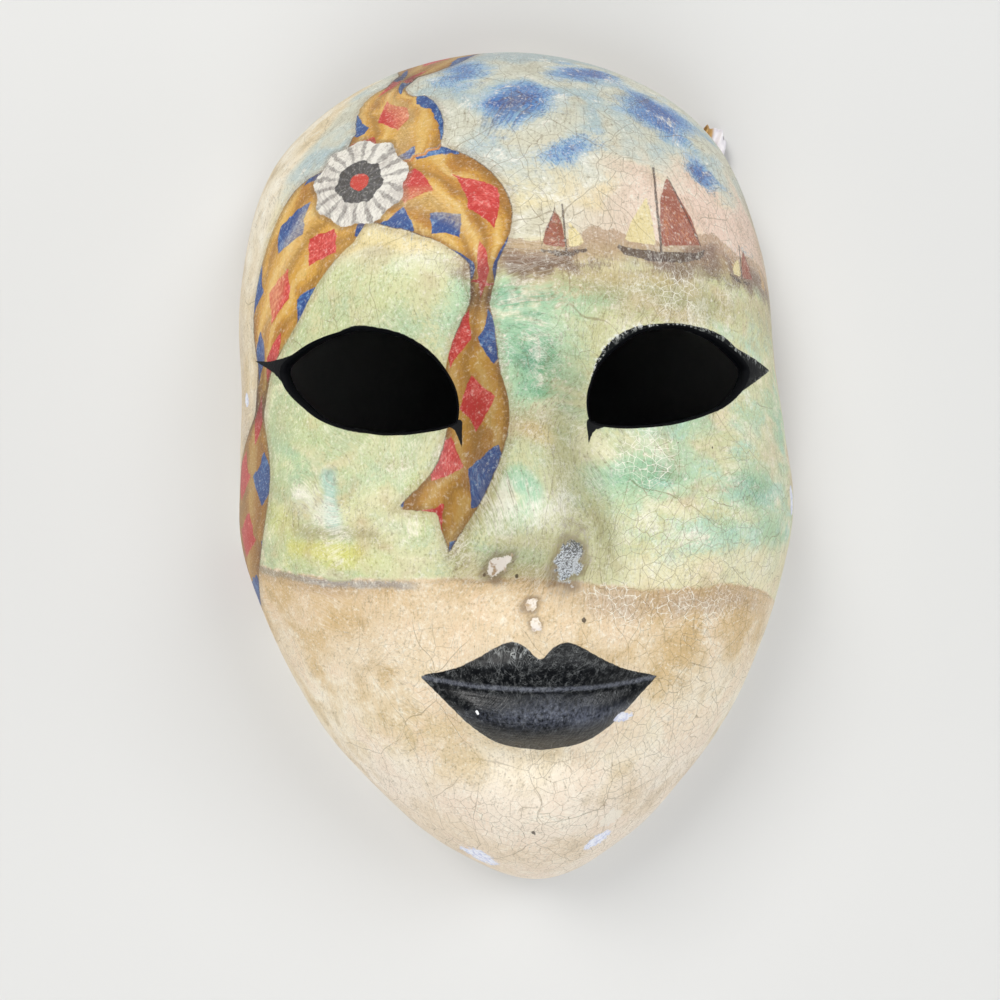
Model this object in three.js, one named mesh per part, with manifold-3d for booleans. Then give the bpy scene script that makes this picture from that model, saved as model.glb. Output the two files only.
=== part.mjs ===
// Full-face wall mask of papier-mache, life size, lying face up.
//
// Frame: millimetres. +Z comes out of the face, +Y runs to the crown, +X is the
// right-hand cheek as somebody looking at the mask sees it. The rim lies on z = 0 and
// the origin is the middle of the mask's footprint. The face is modelled with its nose on
// x = 0, and the finished solids are moved to the footprint's middle at the end.
//
// Two physical pieces: the hollow shell with its two eye holes, and the narrow satin
// hanging ribbon, whose slack lies in the hollow and peeps out under the rim.
import * as THREE from 'three';
import { mergeVertices } from 'three/addons/utils/BufferGeometryUtils.js';
import Module from 'manifold-3d';

// Driving dimensions of the shell
const WALL = 2.8;             // layers of paper plus the gesso
const CENTRE = [-1.0, -18.2]; // the outline is drawn round this point of the face
const RIM_TURN = -1.6;        // degrees; the rim was trimmed askew, its crown end to the left
const OUTLINE_STEP = 15;      // degrees between the outline radii
const OUTLINE_RADII = [       // from the crown round to the chin
  137.3, 134.8, 126.5, 107.6, 90.5, 83.5, 81.8, 79.4, 79.7, 83.0, 88.2, 96.7, 103.6,
];
const DOME_HEIGHT = 67;       // the plain dome, before the features are raised on it
const DOME_ROUNDNESS = 0.56;  // under 1, so that the side wall stands upright at the rim
const CROWN_POWER = 3.6;      // a higher power carries the flat of the dome further out
const SIDE_POWER = 2.5;
const CHIN_POWER = 3.0;
const FEATURE_FADE = [0.8, 1.0];  // the features melt into the side wall between these

// Each pair is a height along the face and a value there, crown side first.
const NOSE_RIDGE = [
  [46, 0], [36, 0.5], [24, 3.0], [12, 8.0], [2, 13.4], [-6, 17.2], [-12, 18.7],
  [-17, 17.6], [-22, 12.2], [-27, 5.0], [-31, 1.4], [-36, 0],
];
const NOSE_HALF_WIDTH = [
  [46, 7], [24, 8], [12, 9.5], [0, 10.5], [-9, 12.2], [-16, 12.5], [-24, 12], [-35, 12],
];
const MOUTH_OFFSET = 1.5;     // the mouth was set a little to the right of the nose
const MOUTH_TILT = 0.045;     // and a little down on the right, in millimetres per millimetre
const MOUTH_Y = -52.3;
const MOUTH_HALF_WIDTH = 26.5;
const UPPER_LIP = 9.7;
const LOWER_LIP = 15.5;

// The eye holes were cut by hand, so each has corners and arches of its own.
const EYES = [
  { side: -1, inner: [15.3, 7.2], outer: [57.0, 22.5], up: 14.3, down: 8.4 },
  { side: 1, inner: [15.9, 6.5], outer: [57.0, 19.2], up: 14.9, down: 6.7 },
];

// Driving dimensions of the ribbon
const RIBBON_WIDTH = 9.5;
const RIBBON_THICKNESS = 0.7;
const RIBBON_STEPS = 96;
const NOTCH_ANGLE = 31.1;     // where the rim is lifted off the table over the ribbon
const NOTCH_HALF_WIDTH = 12;
const NOTCH_HEIGHT = 6.2;
// Angle round the face from the crown, distance inside the outline (minus is outside),
// height of the middle, and lean from standing on edge (0) to lying flat (90).
const RIBBON_STATIONS = [
  [-64, 5.6, 7.0, 0], [-56, 5.8, 7.0, 0], [-47, 8.5, 6.4, 0], [-34, 15, 5.6, 0],
  [-18, 22, 5.4, 0], [-4, 19, 5.4, 0], [9, 24, 5.4, 0], [20.6, 29, 5.4, 0],
  [27.1, 26, 5.3, 4], [29.6, 19, 4.7, 35], [30.3, 11, 2.5, 78], [30.5, 4, 1.5, 90],
  [30.7, -2.5, 1.4, 90], [30.9, -6, 2.0, 90], [31.1, -6.9, 3.3, 90],
  [31.5, -5.4, 4.5, 90], [31.9, -1.5, 4.5, 90], [32.3, 4, 4.0, 90], [32.9, 11, 4.4, 110],
  [34.3, 18, 5.2, 150], [38.1, 21, 5.4, 178], [43.6, 15.5, 5.6, 180], [50, 8.5, 6.4, 180],
  [57, 5.8, 7.0, 180], [64, 5.6, 7.0, 180],
];

const RAD = Math.PI / 180;
const { abs, cos, sin, exp, hypot, max, min, pow } = Math;
const clamp = (v, lo, hi) => min(max(v, lo), hi);

function smooth(a, b, v) {
  const t = clamp((v - a) / (b - a), 0, 1);
  return t * t * (3 - 2 * t);
}

// The face as a surface

// Distance from the face centre to the rim at an angle from the crown.
function outlineRadius(phi) {
  const turned = abs(Math.atan2(sin(phi), cos(phi))) / RAD / OUTLINE_STEP;
  const last = OUTLINE_RADII.length - 1;
  const i = min(Math.floor(turned), last - 1);
  const t = turned - i;
  const at = (k) => OUTLINE_RADII[k < 0 ? -k : k > last ? 2 * last - k : k];
  const [a, b, c, d] = [at(i - 1), at(i), at(i + 1), at(i + 2)];
  return 0.5 * (2 * b + (c - a) * t + (2 * a - 5 * b + 4 * c - d) * t * t
    + (3 * b - a - 3 * c + d) * t * t * t);
}

// The place of an outline angle and a distance from the centre.
function fromCentre(phi, r) {
  const turned = phi + RIM_TURN * RAD;
  return [CENTRE[0] + r * sin(turned), CENTRE[1] + r * cos(turned)];
}

function domeHeight(phi, rho) {
  const across = sin(phi) ** 2;
  const end = CHIN_POWER + (CROWN_POWER - CHIN_POWER) * smooth(-0.3, 0.3, cos(phi));
  const power = SIDE_POWER * across + end * (1 - across);
  return DOME_HEIGHT * pow(max(1 - pow(min(rho, 1), power), 0), DOME_ROUNDNESS);
}

const bump = (x, y, cx, cy, sx, sy) => exp(-(((x - cx) / sx) ** 2) - ((y - cy) / sy) ** 2);
const pair = (x, y, cx, cy, sx, sy) => bump(x, y, cx, cy, sx, sy) + bump(x, y, -cx, cy, sx, sy);

// A smooth curve through [position, value] pairs that never overshoots them.
function along(table, v) {
  const p = [...table].sort((m, n) => m[0] - n[0]);
  const slope = (k) => (p[k + 1][1] - p[k][1]) / (p[k + 1][0] - p[k][0]);
  const tangent = (k) => {
    if (k === 0 || k === p.length - 1) return 0;
    return slope(k - 1) * slope(k) <= 0 ? 0 : (slope(k - 1) + slope(k)) / 2;
  };
  let i = 0;
  while (i < p.length - 2 && v > p[i + 1][0]) i += 1;
  const h = p[i + 1][0] - p[i][0];
  const t = clamp((v - p[i][0]) / h, 0, 1);
  return (2 * t ** 3 - 3 * t ** 2 + 1) * p[i][1] + (t ** 3 - 2 * t ** 2 + t) * h * tangent(i)
    + (3 * t ** 2 - 2 * t ** 3) * p[i + 1][1] + (t ** 3 - t ** 2) * h * tangent(i + 1);
}

function lips(x, faceY) {
  const y = faceY + MOUTH_TILT * x;
  const u = clamp(hypot(x, 0.2) / MOUTH_HALF_WIDTH, 0, 1);
  const seam = MOUTH_Y + 1.2 * u * u;
  const top = MOUTH_Y + UPPER_LIP - 7.2 * (max(u - 0.2, 0) / 0.8) ** 1.2;
  const low = seam - LOWER_LIP * (1 - u ** 2.2) ** 0.8;
  const up = (y - seam) / max(top - seam, 2);
  const down = (seam - y) / max(seam - low, 2);
  const upper = 3.0 * smooth(-0.35, 0.62, up) * smooth(1.35, 0.5, up);
  const lower = 4.0 * smooth(-0.1, 0.5, down) * smooth(1.25, 0.42, down);
  return smooth(1, 0.45, u) * (upper + lower);
}

// Everything that is raised on the dome or pressed into it. The lips are modelled in the
// outer layers only, so the inside is smooth behind them.
function relief(faceX, y, outside) {
  const x = faceX - MOUTH_OFFSET * smooth(10, -45, y);
  const nose = along(NOSE_RIDGE, y) * exp(-pow(hypot(x, 0.2) / along(NOSE_HALF_WIDTH, y), 2.6));
  return nose
    + 2.0 * bump(x, y, 0, -12, 10, 8.5)        // ball of the nose
    + 2.4 * pair(x, y, 29, 41, 21, 10)         // brows
    + 1.0 * bump(x, y, 0, 46, 22, 12)          // forehead above the nose
    - 6.0 * pair(x, y, 35, 17, 21, 14)         // eye sockets
    - 3.8 * pair(x, y, 17.5, 15, 6.5, 13)      // inner corners of the eyes
    + 6.0 * pair(x, y, 12.6, -20.5, 5.0, 6.0)  // wings of the nose
    - 2.6 * pair(x, y, 7.4, -25.5, 3.3, 4.4)   // nostrils
    + 4.0 * pair(x, y, 44, -18, 20, 20)        // cheeks
    + 3.5 * bump(x, y, 0, -50, 30, 18)         // the mound that carries the mouth
    - 0.7 * bump(x, y, 0, -36, 3, 6)           // groove under the nose
    + (outside ? lips(x, y) : 0)
    - 3.2 * bump(x, y, 0, -71, 20, 6)          // hollow under the lower lip
    + 2.5 * bump(x, y, 0, -86, 17, 11);        // chin
}

// The outer surface at an angle and at a share of the way from the centre to the rim.
// The share runs evenly along the surface, so the upright side wall gets its rings too.
function facePoint(phi, share, outside = true) {
  const rho = sin((share * Math.PI) / 2);
  const [x, y] = fromCentre(phi, outlineRadius(phi) * rho);
  const lift = relief(x, y, outside) * smooth(FEATURE_FADE[1], FEATURE_FADE[0], rho);
  return new THREE.Vector3(x, y, domeHeight(phi, rho) + (share < 1 ? lift : 0));
}

// The inner surface: the outer one moved inwards by the wall.
function innerPoint(phi, share) {
  const e = 0.004;
  const s = clamp(share, 0.02, 1);
  const at = (turn, step) => facePoint(phi + turn, min(s + step, 1), false);
  const round = at(e, 0).sub(at(-e, 0));
  const out = at(0, e).sub(at(0, -e));
  const normal = out.cross(round).normalize();
  if (normal.z < 0) normal.negate();
  if (share === 0) normal.set(0, 0, 1);
  return facePoint(phi, share, false).addScaledVector(normal, -WALL);
}

// Solids

// The rings stand a little closer together in the middle, where the features are.
const spread = (t) => t * (0.8 + 0.2 * t * t);

// A closed body under a surface: rings of 6, 12, 18 ... points round the centre keep the
// facets even. Its floor is a fan, which a skirt can carry down below the last ring.
function bodyUnder(point, rings, skirtZ) {
  const positions = [];
  const index = [];
  const first = [0];
  for (let i = 0; i <= rings; i += 1) {
    first.push(first[i] + max(6 * i, 1));
    for (let j = 0; j < max(6 * i, 1); j += 1) {
      const phi = i === 0 ? 0 : (2 * Math.PI * j) / (6 * i);
      positions.push(...point(phi, spread(i / rings)).toArray());
    }
  }
  const at = (i, j) => first[i] + (i === 0 ? 0 : j % (6 * i));
  for (let i = 0; i < rings; i += 1) {
    for (let sector = 0; sector < 6; sector += 1) {
      for (let k = 0; k <= i; k += 1) {
        const inner = sector * i + k;
        const outer = sector * (i + 1) + k;
        index.push(at(i, inner), at(i + 1, outer + 1), at(i + 1, outer));
        if (k < i) index.push(at(i, inner), at(i, inner + 1), at(i + 1, outer + 1));
      }
    }
  }
  let edge = first[rings];
  const count = 6 * rings;
  if (skirtZ !== undefined) {
    const low = positions.length / 3;
    for (let j = 0; j < count; j += 1) {
      positions.push(positions[3 * (edge + j)], positions[3 * (edge + j) + 1], skirtZ);
    }
    for (let j = 0; j < count; j += 1) {
      const next = (j + 1) % count;
      index.push(edge + j, edge + next, low + next, edge + j, low + next, low + j);
    }
    edge = low;
  }
  const centre = positions.length / 3;
  positions.push(...CENTRE, skirtZ ?? 0);
  for (let j = 0; j < count; j += 1) index.push(edge + j, edge + ((j + 1) % count), centre);
  const geometry = new THREE.BufferGeometry();
  geometry.setAttribute('position', new THREE.Float32BufferAttribute(positions, 3));
  geometry.setIndex(index);
  return geometry;
}

// Rises from one corner, peaks at 1 and comes down to the other corner.
function arch(t, a, b) {
  const peak = a / (a + b);
  return pow(t / peak, a) * pow((1 - t) / (1 - peak), b);
}

function eyeOutline({ side, inner, outer, up, down }, steps = 20) {
  const length = hypot(outer[0] - inner[0], outer[1] - inner[1]);
  const [cx, cy] = [(outer[0] - inner[0]) / length, (outer[1] - inner[1]) / length];
  const place = (t, h) => new THREE.Vector2(
    side * (inner[0] + t * length * cx - h * cy),
    inner[1] + t * length * cy + h * cx,
  );
  const points = [];
  for (let k = 0; k <= steps; k += 1) {
    const t = (1 - cos((Math.PI * k) / steps)) / 2;
    points.push(place(t, up * arch(t, 0.6, 0.82)));
  }
  for (let k = steps - 1; k > 0; k -= 1) {
    const t = (1 - cos((Math.PI * k) / steps)) / 2;
    points.push(place(t, -down * arch(t, 0.85, 0.64)));
  }
  return points;
}

function eyeCutter(eye) {
  const geometry = new THREE.ExtrudeGeometry(new THREE.Shape(eyeOutline(eye)), {
    depth: 90, bevelEnabled: false,
  });
  return geometry.translate(0, 0, 12);
}

// A lying half-round tunnel through the rim, where the ribbon passes out.
function notchCutter() {
  const geometry = new THREE.CylinderGeometry(1, 1, 30, 32);
  geometry.scale(NOTCH_HALF_WIDTH, 1, NOTCH_HEIGHT);
  const phi = NOTCH_ANGLE * RAD;
  geometry.rotateZ(-phi - RIM_TURN * RAD);
  return geometry.translate(...fromCentre(phi, outlineRadius(phi)), 0);
}

const wasm = await Module();
wasm.setup();

function toSolid(source) {
  const bare = source.clone();
  bare.deleteAttribute('normal');
  bare.deleteAttribute('uv');
  const merged = mergeVertices(bare, 1e-4);
  return new wasm.Manifold(new wasm.Mesh({
    numProp: 3,
    vertProperties: Float32Array.from(merged.attributes.position.array),
    triVerts: Uint32Array.from(merged.index.array),
  }));
}

function toGeometry(solid) {
  const mesh = solid.getMesh();
  const geometry = new THREE.BufferGeometry();
  const positions = new Float32Array(mesh.numVert * 3);
  for (let i = 0; i < mesh.numVert; i += 1) {
    for (let k = 0; k < 3; k += 1) {
      positions[3 * i + k] = mesh.vertProperties[i * mesh.numProp + k];
    }
  }
  geometry.setAttribute('position', new THREE.BufferAttribute(positions, 3));
  geometry.setIndex(new THREE.BufferAttribute(Uint32Array.from(mesh.triVerts), 1));
  return geometry;
}

function shellGeometry() {
  let shell = toSolid(bodyUnder(facePoint, 30));
  shell = shell.subtract(toSolid(bodyUnder(innerPoint, 20, -3)));
  for (const eye of EYES) shell = shell.subtract(toSolid(eyeCutter(eye)));
  shell = shell.subtract(toSolid(notchCutter()));
  return toGeometry(shell);
}

// The ribbon is a thin band: a middle line, and a width direction that turns from upright
// to lying across the way out, and back to upright on the way in.
function ribbonGeometry() {
  const up = new THREE.Vector3(0, 0, 1);
  const centres = RIBBON_STATIONS.map(([angle, inset, z]) => {
    const phi = angle * RAD;
    return new THREE.Vector3(...fromCentre(phi, outlineRadius(phi) - inset), z);
  });
  const path = new THREE.CatmullRomCurve3(centres, false, 'centripetal');
  const notch = (NOTCH_ANGLE + RIM_TURN) * RAD;
  const across = new THREE.Vector3(cos(notch), -sin(notch), 0);
  const positions = [];
  const index = [];
  for (let k = 0; k <= RIBBON_STEPS; k += 1) {
    const t = k / RIBBON_STEPS;
    const station = t * (RIBBON_STATIONS.length - 1);
    const i = min(Math.floor(station), RIBBON_STATIONS.length - 2);
    const lean = RAD * THREE.MathUtils.lerp(RIBBON_STATIONS[i][3], RIBBON_STATIONS[i + 1][3], station - i);
    const tangent = path.getTangent(t);
    const wide = up.clone().multiplyScalar(cos(lean)).addScaledVector(across, sin(lean));
    wide.addScaledVector(tangent, -wide.dot(tangent)).normalize();
    const thick = tangent.clone().cross(wide).normalize();
    for (const [w, h] of [[-1, -1], [1, -1], [1, 1], [-1, 1]]) {
      positions.push(...path.getPoint(t)
        .addScaledVector(wide, (w * RIBBON_WIDTH) / 2)
        .addScaledVector(thick, (h * RIBBON_THICKNESS) / 2)
        .toArray());
    }
  }
  for (let k = 0; k < RIBBON_STEPS; k += 1) {
    for (let c = 0; c < 4; c += 1) {
      const a = 4 * k + c;
      const b = 4 * k + ((c + 1) % 4);
      index.push(a, b, b + 4, a, b + 4, a + 4);
    }
  }
  const end = 4 * RIBBON_STEPS;
  index.push(0, 2, 1, 0, 3, 2, end, end + 1, end + 2, end, end + 2, end + 3);
  const geometry = new THREE.BufferGeometry();
  geometry.setAttribute('position', new THREE.Float32BufferAttribute(positions, 3));
  geometry.setIndex(index);
  return toGeometry(toSolid(geometry));
}

// The scene graph
function addPiece(group, name, geometry, look) {
  geometry.computeVertexNormals();
  const mesh = new THREE.Mesh(geometry, new THREE.MeshStandardMaterial(look));
  mesh.name = name;
  group.add(mesh);
}

const shell = shellGeometry();
const ribbon = ribbonGeometry();
shell.computeBoundingBox();
const footprint = shell.boundingBox.getCenter(new THREE.Vector3());
for (const geometry of [shell, ribbon]) geometry.translate(-footprint.x, -footprint.y, 0);

const mask = new THREE.Group();
addPiece(mask, 'mask_shell', shell, { color: 0xd9c79f, roughness: 0.42, metalness: 0 });
addPiece(mask, 'hanging_ribbon', ribbon, { color: 0xf2efe8, roughness: 0.35, metalness: 0 });

export default mask;
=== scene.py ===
# %% [markdown]
# # A painted papier-mache wall mask
#
# The mask is a life-size face moulded from layered paper, primed with gesso, painted
# by hand and sealed with a varnish that has crazed into a fine net of cracks. This
# lesson builds its fine surface over the plain CAD shell, paints it with procedural
# nodes, and lays the satin hanging ribbon in the hollow behind it.
#
# Everything is worked out in millimetres, in the same frame as the CAD: +Z out of the
# face, +Y to the crown. Blender wants metres, so the last step of each mesh scales it.

# %% Load the CAD frame
import math

import bpy
import numpy as np
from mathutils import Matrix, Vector
from mathutils.geometry import delaunay_2d_cdt


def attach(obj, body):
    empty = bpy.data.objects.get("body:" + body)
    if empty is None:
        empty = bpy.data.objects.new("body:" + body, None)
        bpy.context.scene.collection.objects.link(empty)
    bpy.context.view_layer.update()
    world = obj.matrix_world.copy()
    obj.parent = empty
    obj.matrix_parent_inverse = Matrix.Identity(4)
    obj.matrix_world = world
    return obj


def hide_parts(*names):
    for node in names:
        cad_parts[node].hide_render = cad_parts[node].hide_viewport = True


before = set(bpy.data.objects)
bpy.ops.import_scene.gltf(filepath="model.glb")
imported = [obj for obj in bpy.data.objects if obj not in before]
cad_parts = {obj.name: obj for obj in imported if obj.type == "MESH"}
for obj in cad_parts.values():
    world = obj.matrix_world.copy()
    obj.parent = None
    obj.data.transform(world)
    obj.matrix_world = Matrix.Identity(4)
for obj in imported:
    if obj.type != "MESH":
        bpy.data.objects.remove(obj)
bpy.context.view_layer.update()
MM = 0.001


def put(name, data):
    """A new object made from its data and placed in the scene."""
    made = bpy.data.objects.new(name, data)
    bpy.context.collection.objects.link(made)
    return made


# %% [markdown]
# ## The camera first
#
# The photograph looks straight down on the mask from about a forearm's length, with
# the chin swung two degrees to the right. A wide 28 mm lens that close makes the nose
# and lips look large and hides the foot of the side walls, so the height matters as
# much as the angle. Setting it first lets every later step be judged in the right view.

# %% Camera over the mask
CAMERA_AT = (-4.5, -9.6, 239.0)
CAMERA_TURN = 2.06  # degrees, crown to the left

camera_data = bpy.data.cameras.new("table_camera")
camera_data.lens = 28.0
camera_data.sensor_width = 36.0
camera_data.clip_start = 0.01
camera = put("table_camera", camera_data)
camera.location = Vector(CAMERA_AT) * MM
camera.rotation_euler = (0, 0, -math.radians(CAMERA_TURN))
bpy.context.scene.camera = camera
print("camera height above the table:", CAMERA_AT[2], "mm")

# %% [markdown]
# ## The face as one surface
#
# A mould-maker starts from a plain dome with the outline of a head and presses and
# builds the features onto it. The same can be said in numbers: a radius round the
# face centre for the outline, a dome over it, and soft bumps for brow, nose and chin.
# One function of (x, y) then serves the fine mesh, the wall behind it and the paint.

# %% Outline and dome
CENTRE_X, CENTRE_Y = -1.0, -18.2
RIM_TURN = math.radians(-1.6)  # the rim was trimmed a little askew
OUTLINE_STEP = 15.0
OUTLINE_RADII = np.array([137.3, 134.8, 126.5, 107.6, 90.5, 83.5, 81.8, 79.4, 79.7, 83.0,
                          88.2, 96.7, 103.6])
DOME_HEIGHT, DOME_ROUNDNESS = 67.0, 0.56
CROWN_POWER, SIDE_POWER, CHIN_POWER = 3.6, 2.5, 3.0
WALL = 2.8


def smooth(a, b, v):
    """0 before a, 1 after b, and a soft step between them."""
    t = np.clip((v - a) / (b - a), 0.0, 1.0)
    return t * t * (3.0 - 2.0 * t)


def bend(a, b, c, d, t):
    """The smooth line through four knots, a share t of the way from b to c."""
    return 0.5 * (2 * b + (c - a) * t + (2 * a - 5 * b + 4 * c - d) * t**2
                  + (3 * b - a - 3 * c + d) * t**3)


def outline_radius(phi):
    """Distance from the face centre to the rim, at an angle from the crown."""
    turned = np.degrees(np.abs(np.arctan2(np.sin(phi), np.cos(phi)))) / OUTLINE_STEP
    r = np.concatenate([OUTLINE_RADII[1:2], OUTLINE_RADII, OUTLINE_RADII[-2:-1]])
    i = np.clip(np.floor(turned).astype(int), 0, len(OUTLINE_RADII) - 2)
    return bend(r[i], r[i + 1], r[i + 2], r[i + 3], turned - i)


def dome(phi, rho):
    across = np.sin(phi) ** 2
    end = CHIN_POWER + (CROWN_POWER - CHIN_POWER) * smooth(-0.3, 0.3, np.cos(phi))
    power = SIDE_POWER * across + end * (1 - across)
    return DOME_HEIGHT * np.maximum(1 - np.minimum(rho, 1) ** power, 0) ** DOME_ROUNDNESS


def from_centre(phi, r):
    """The place at an angle from the crown and a distance from the face centre."""
    return CENTRE_X + r * np.sin(phi + RIM_TURN), CENTRE_Y + r * np.cos(phi + RIM_TURN)


def polar(x, y):
    """The angle from the crown and the share of the way to the rim, seen from above."""
    phi = np.arctan2(x - CENTRE_X, y - CENTRE_Y) - RIM_TURN
    return phi, np.hypot(x - CENTRE_X, y - CENTRE_Y) / outline_radius(phi)


turn = np.linspace(0, 2 * np.pi, 721)
ends = np.stack(from_centre(turn, outline_radius(turn)))
SHIFT = np.append(-(ends.max(1) + ends.min(1)) / 2, 0.0)  # to the middle of the footprint
print("outline", round(float(outline_radius(np.array(np.pi / 2))) * 2), "mm wide at the cheeks")

# %% The nose, by its ridge and its width
NOSE_RIDGE = [(46, 0), (36, 0.5), (24, 3.0), (12, 8.0), (2, 13.4), (-6, 17.2), (-12, 18.7),
              (-17, 17.6), (-22, 12.2), (-27, 5.0), (-31, 1.4), (-36, 0)]
NOSE_HALF_WIDTH = [(46, 7), (24, 8), (12, 9.5), (0, 10.5), (-9, 12.2), (-16, 12.5), (-24, 12),
                   (-35, 12)]


def along(table, v):
    """A smooth curve through (position, value) pairs that never overshoots them."""
    p = np.array(sorted(table), float)
    at, value = p[:, 0], p[:, 1]
    slope = np.diff(value) / np.diff(at)
    tangent = np.zeros(len(at))
    tangent[1:-1] = np.where(slope[:-1] * slope[1:] <= 0, 0, (slope[:-1] + slope[1:]) / 2)
    i = np.clip(np.searchsorted(at, v) - 1, 0, len(at) - 2)
    h = at[i + 1] - at[i]
    t = np.clip((v - at[i]) / h, 0, 1)
    return ((2 * t**3 - 3 * t**2 + 1) * value[i] + (t**3 - 2 * t**2 + t) * h * tangent[i]
            + (3 * t**2 - 2 * t**3) * value[i + 1] + (t**3 - t**2) * h * tangent[i + 1])


print("the nose stands", max(high for _, high in NOSE_RIDGE), "mm off the dome")

# %% The lips
MOUTH_X, MOUTH_Y, MOUTH_HALF_WIDTH = 1.5, -52.3, 26.6
UPPER_LIP, LOWER_LIP = 9.7, 15.5
LIP_TILT = 0.045  # the mouth sits a little askew on the face


def lip_relief(x, y):
    y = y + LIP_TILT * x
    u = np.clip(np.hypot(x, 0.2) / MOUTH_HALF_WIDTH, 0, 1)
    seam = MOUTH_Y + 1.2 * u**2
    top = MOUTH_Y + UPPER_LIP - 7.2 * (np.maximum(u - 0.2, 0) / 0.8) ** 1.2
    low = seam - LOWER_LIP * (1 - u**2.2) ** 0.8
    up = (y - seam) / np.maximum(top - seam, 2)
    down = (seam - y) / np.maximum(seam - low, 2)
    upper = 3.0 * smooth(-0.35, 0.62, up) * smooth(1.35, 0.5, up)
    lower = 4.0 * smooth(-0.1, 0.5, down) * smooth(1.25, 0.42, down)
    ridge = 0.35 * np.exp(-(((y - seam) / 0.55) ** 2))
    groove = 0.7 * np.exp(-(((y - seam + 1.0) / 0.6) ** 2))
    return smooth(1, 0.45, u) * (upper + lower + ridge - groove)


print("lower lip", round(float(lip_relief(np.array(0.0), np.array(-61.0))), 1), "mm proud")

# %% Brows, cheeks and chin: the whole relief
# Height, middle and half widths of each soft form; off the middle line it comes in pairs.
FORMS = [(2.0, 0, -12, 10, 8.5),  # ball of the nose
         (2.4, 29, 41, 21, 10),  # brows
         (1.0, 0, 46, 22, 12),  # forehead above the nose
         (-6.0, 35, 17, 21, 14),  # eye sockets
         (-3.8, 17.5, 15, 6.5, 13),  # inner corners of the eyes
         (6.0, 12.6, -20.5, 5.0, 6.0),  # wings of the nose
         (-2.6, 7.4, -25.5, 3.3, 4.4),  # nostrils
         (4.0, 44, -18, 20, 20),  # cheeks
         (3.5, 0, -50, 30, 18),  # the mound that carries the mouth
         (-0.7, 0, -36, 3, 6),  # groove under the nose
         (-3.2, 0, -71, 20, 6),  # hollow under the lower lip
         (2.5, 0, -86, 17, 11)]  # chin


def bump(x, y, cx, cy, sx, sy):
    """A soft round form, 1 high in its middle."""
    return np.exp(-(((x - cx) / sx) ** 2) - ((y - cy) / sy) ** 2)


def relief(face_x, y, outside=True):
    x = face_x - MOUTH_X * smooth(10, -45, y)
    z = along(NOSE_RIDGE, y) * np.exp(-(np.hypot(x, 0.2) / along(NOSE_HALF_WIDTH, y)) ** 2.6)
    for tall, cx, cy, sx, sy in FORMS:
        z += tall * sum(bump(x, y, side, cy, sx, sy) for side in {cx, -cx})
    return z + (lip_relief(x, y) if outside else 0.0)


def height(x, y, outside=True):
    """Height of the face above the table at (x, y)."""
    phi, rho = polar(x, y)
    return dome(phi, rho) + relief(x, y, outside) * smooth(1.0, 0.8, rho)


print("tip of the nose:", round(float(height(np.array(0.0), np.array(-12.0))), 1), "mm high")

# %% [markdown]
# ## Hand-made unevenness
#
# Paper pulled from a mould is never quite even. A lattice of fixed random numbers,
# blended smoothly between its knots, gives slow swells in the surface and a slight
# wander in every cut edge. The generator is seeded, so the mask is the same each time.

# %% A smooth field of unevenness
KNOTS = 64
LATTICE = np.random.default_rng(7).random((KNOTS, KNOTS)) * 2 - 1


def uneven(x, y, size, shift=0.0):
    """A smooth value from -1 to 1 that changes over about `size` millimetres."""
    u, v = np.asarray(x) / size + 17.3 + shift, np.asarray(y) / size + 23.1 - shift
    i, j = np.floor(u).astype(int), np.floor(v).astype(int)
    s, t = smooth(0, 1, u - i), smooth(0, 1, v - j)
    i, j, i2, j2 = i % KNOTS, j % KNOTS, (i + 1) % KNOTS, (j + 1) % KNOTS
    return ((LATTICE[i, j] * (1 - s) + LATTICE[i2, j] * s) * (1 - t)
            + (LATTICE[i, j2] * (1 - s) + LATTICE[i2, j2] * s) * t)


print("unevenness at the nose:", round(float(uneven(0.0, -12.0, 14.0)), 3))

# %% [markdown]
# ## Eye holes
#
# Each eye was cut out by hand through the dry shell. The cut runs from an inner to an
# outer corner, with a tall arch above and a flat one below. An arch that is a product
# of two powers leans towards the nose as the real cut does.

# %% Outlines of the eye holes
EYES = [dict(side=-1, inner=(15.3, 7.2), outer=(57.0, 22.5), up=14.3, down=8.4),
        dict(side=1, inner=(15.9, 6.5), outer=(57.0, 19.2), up=14.9, down=6.7)]


def arch(t, a, b):
    """A lopsided arch, 1 high, over t from 0 to 1."""
    peak = a / (a + b)
    return (t / peak) ** a * ((1 - t) / (1 - peak)) ** b


def run_along(line):
    """Distance along a line from its first point to each of its points."""
    return np.concatenate([[0], np.cumsum(np.linalg.norm(np.diff(line, axis=0), axis=1))])


def unit(ways):
    """Directions scaled to a length of one."""
    return ways / np.linalg.norm(ways, axis=-1, keepdims=True)


def evenly(points, step):
    """The closed outline again, with points about `step` apart."""
    closed = np.vstack([points, points[:1]])
    run = run_along(closed)
    at = np.linspace(0, run[-1], int(round(run[-1] / step)), endpoint=False)
    return np.stack([np.interp(at, run, closed[:, k]) for k in (0, 1)], 1)


def eye_outline(eye, step=0.9, count=120):
    (ix, iy), (ox, oy) = eye["inner"], eye["outer"]
    length = math.hypot(ox - ix, oy - iy)
    cx, cy = (ox - ix) / length, (oy - iy) / length
    t = (1 - np.cos(np.linspace(0, np.pi, count))) / 2
    t = np.concatenate([t, t[::-1][1:-1]])
    upper = np.arange(len(t)) < count
    rise = np.where(upper, eye["up"] * arch(t, 0.6, 0.82), -eye["down"] * arch(t, 0.85, 0.64))
    x = eye["side"] * (ix + t * length * cx - rise * cy)
    y = iy + t * length * cy + rise * cx
    outline = evenly(np.stack([x, y], 1), step)
    if eye["side"] > 0:
        outline = outline[::-1]  # so that both run counter-clockwise
    return outline


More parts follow.
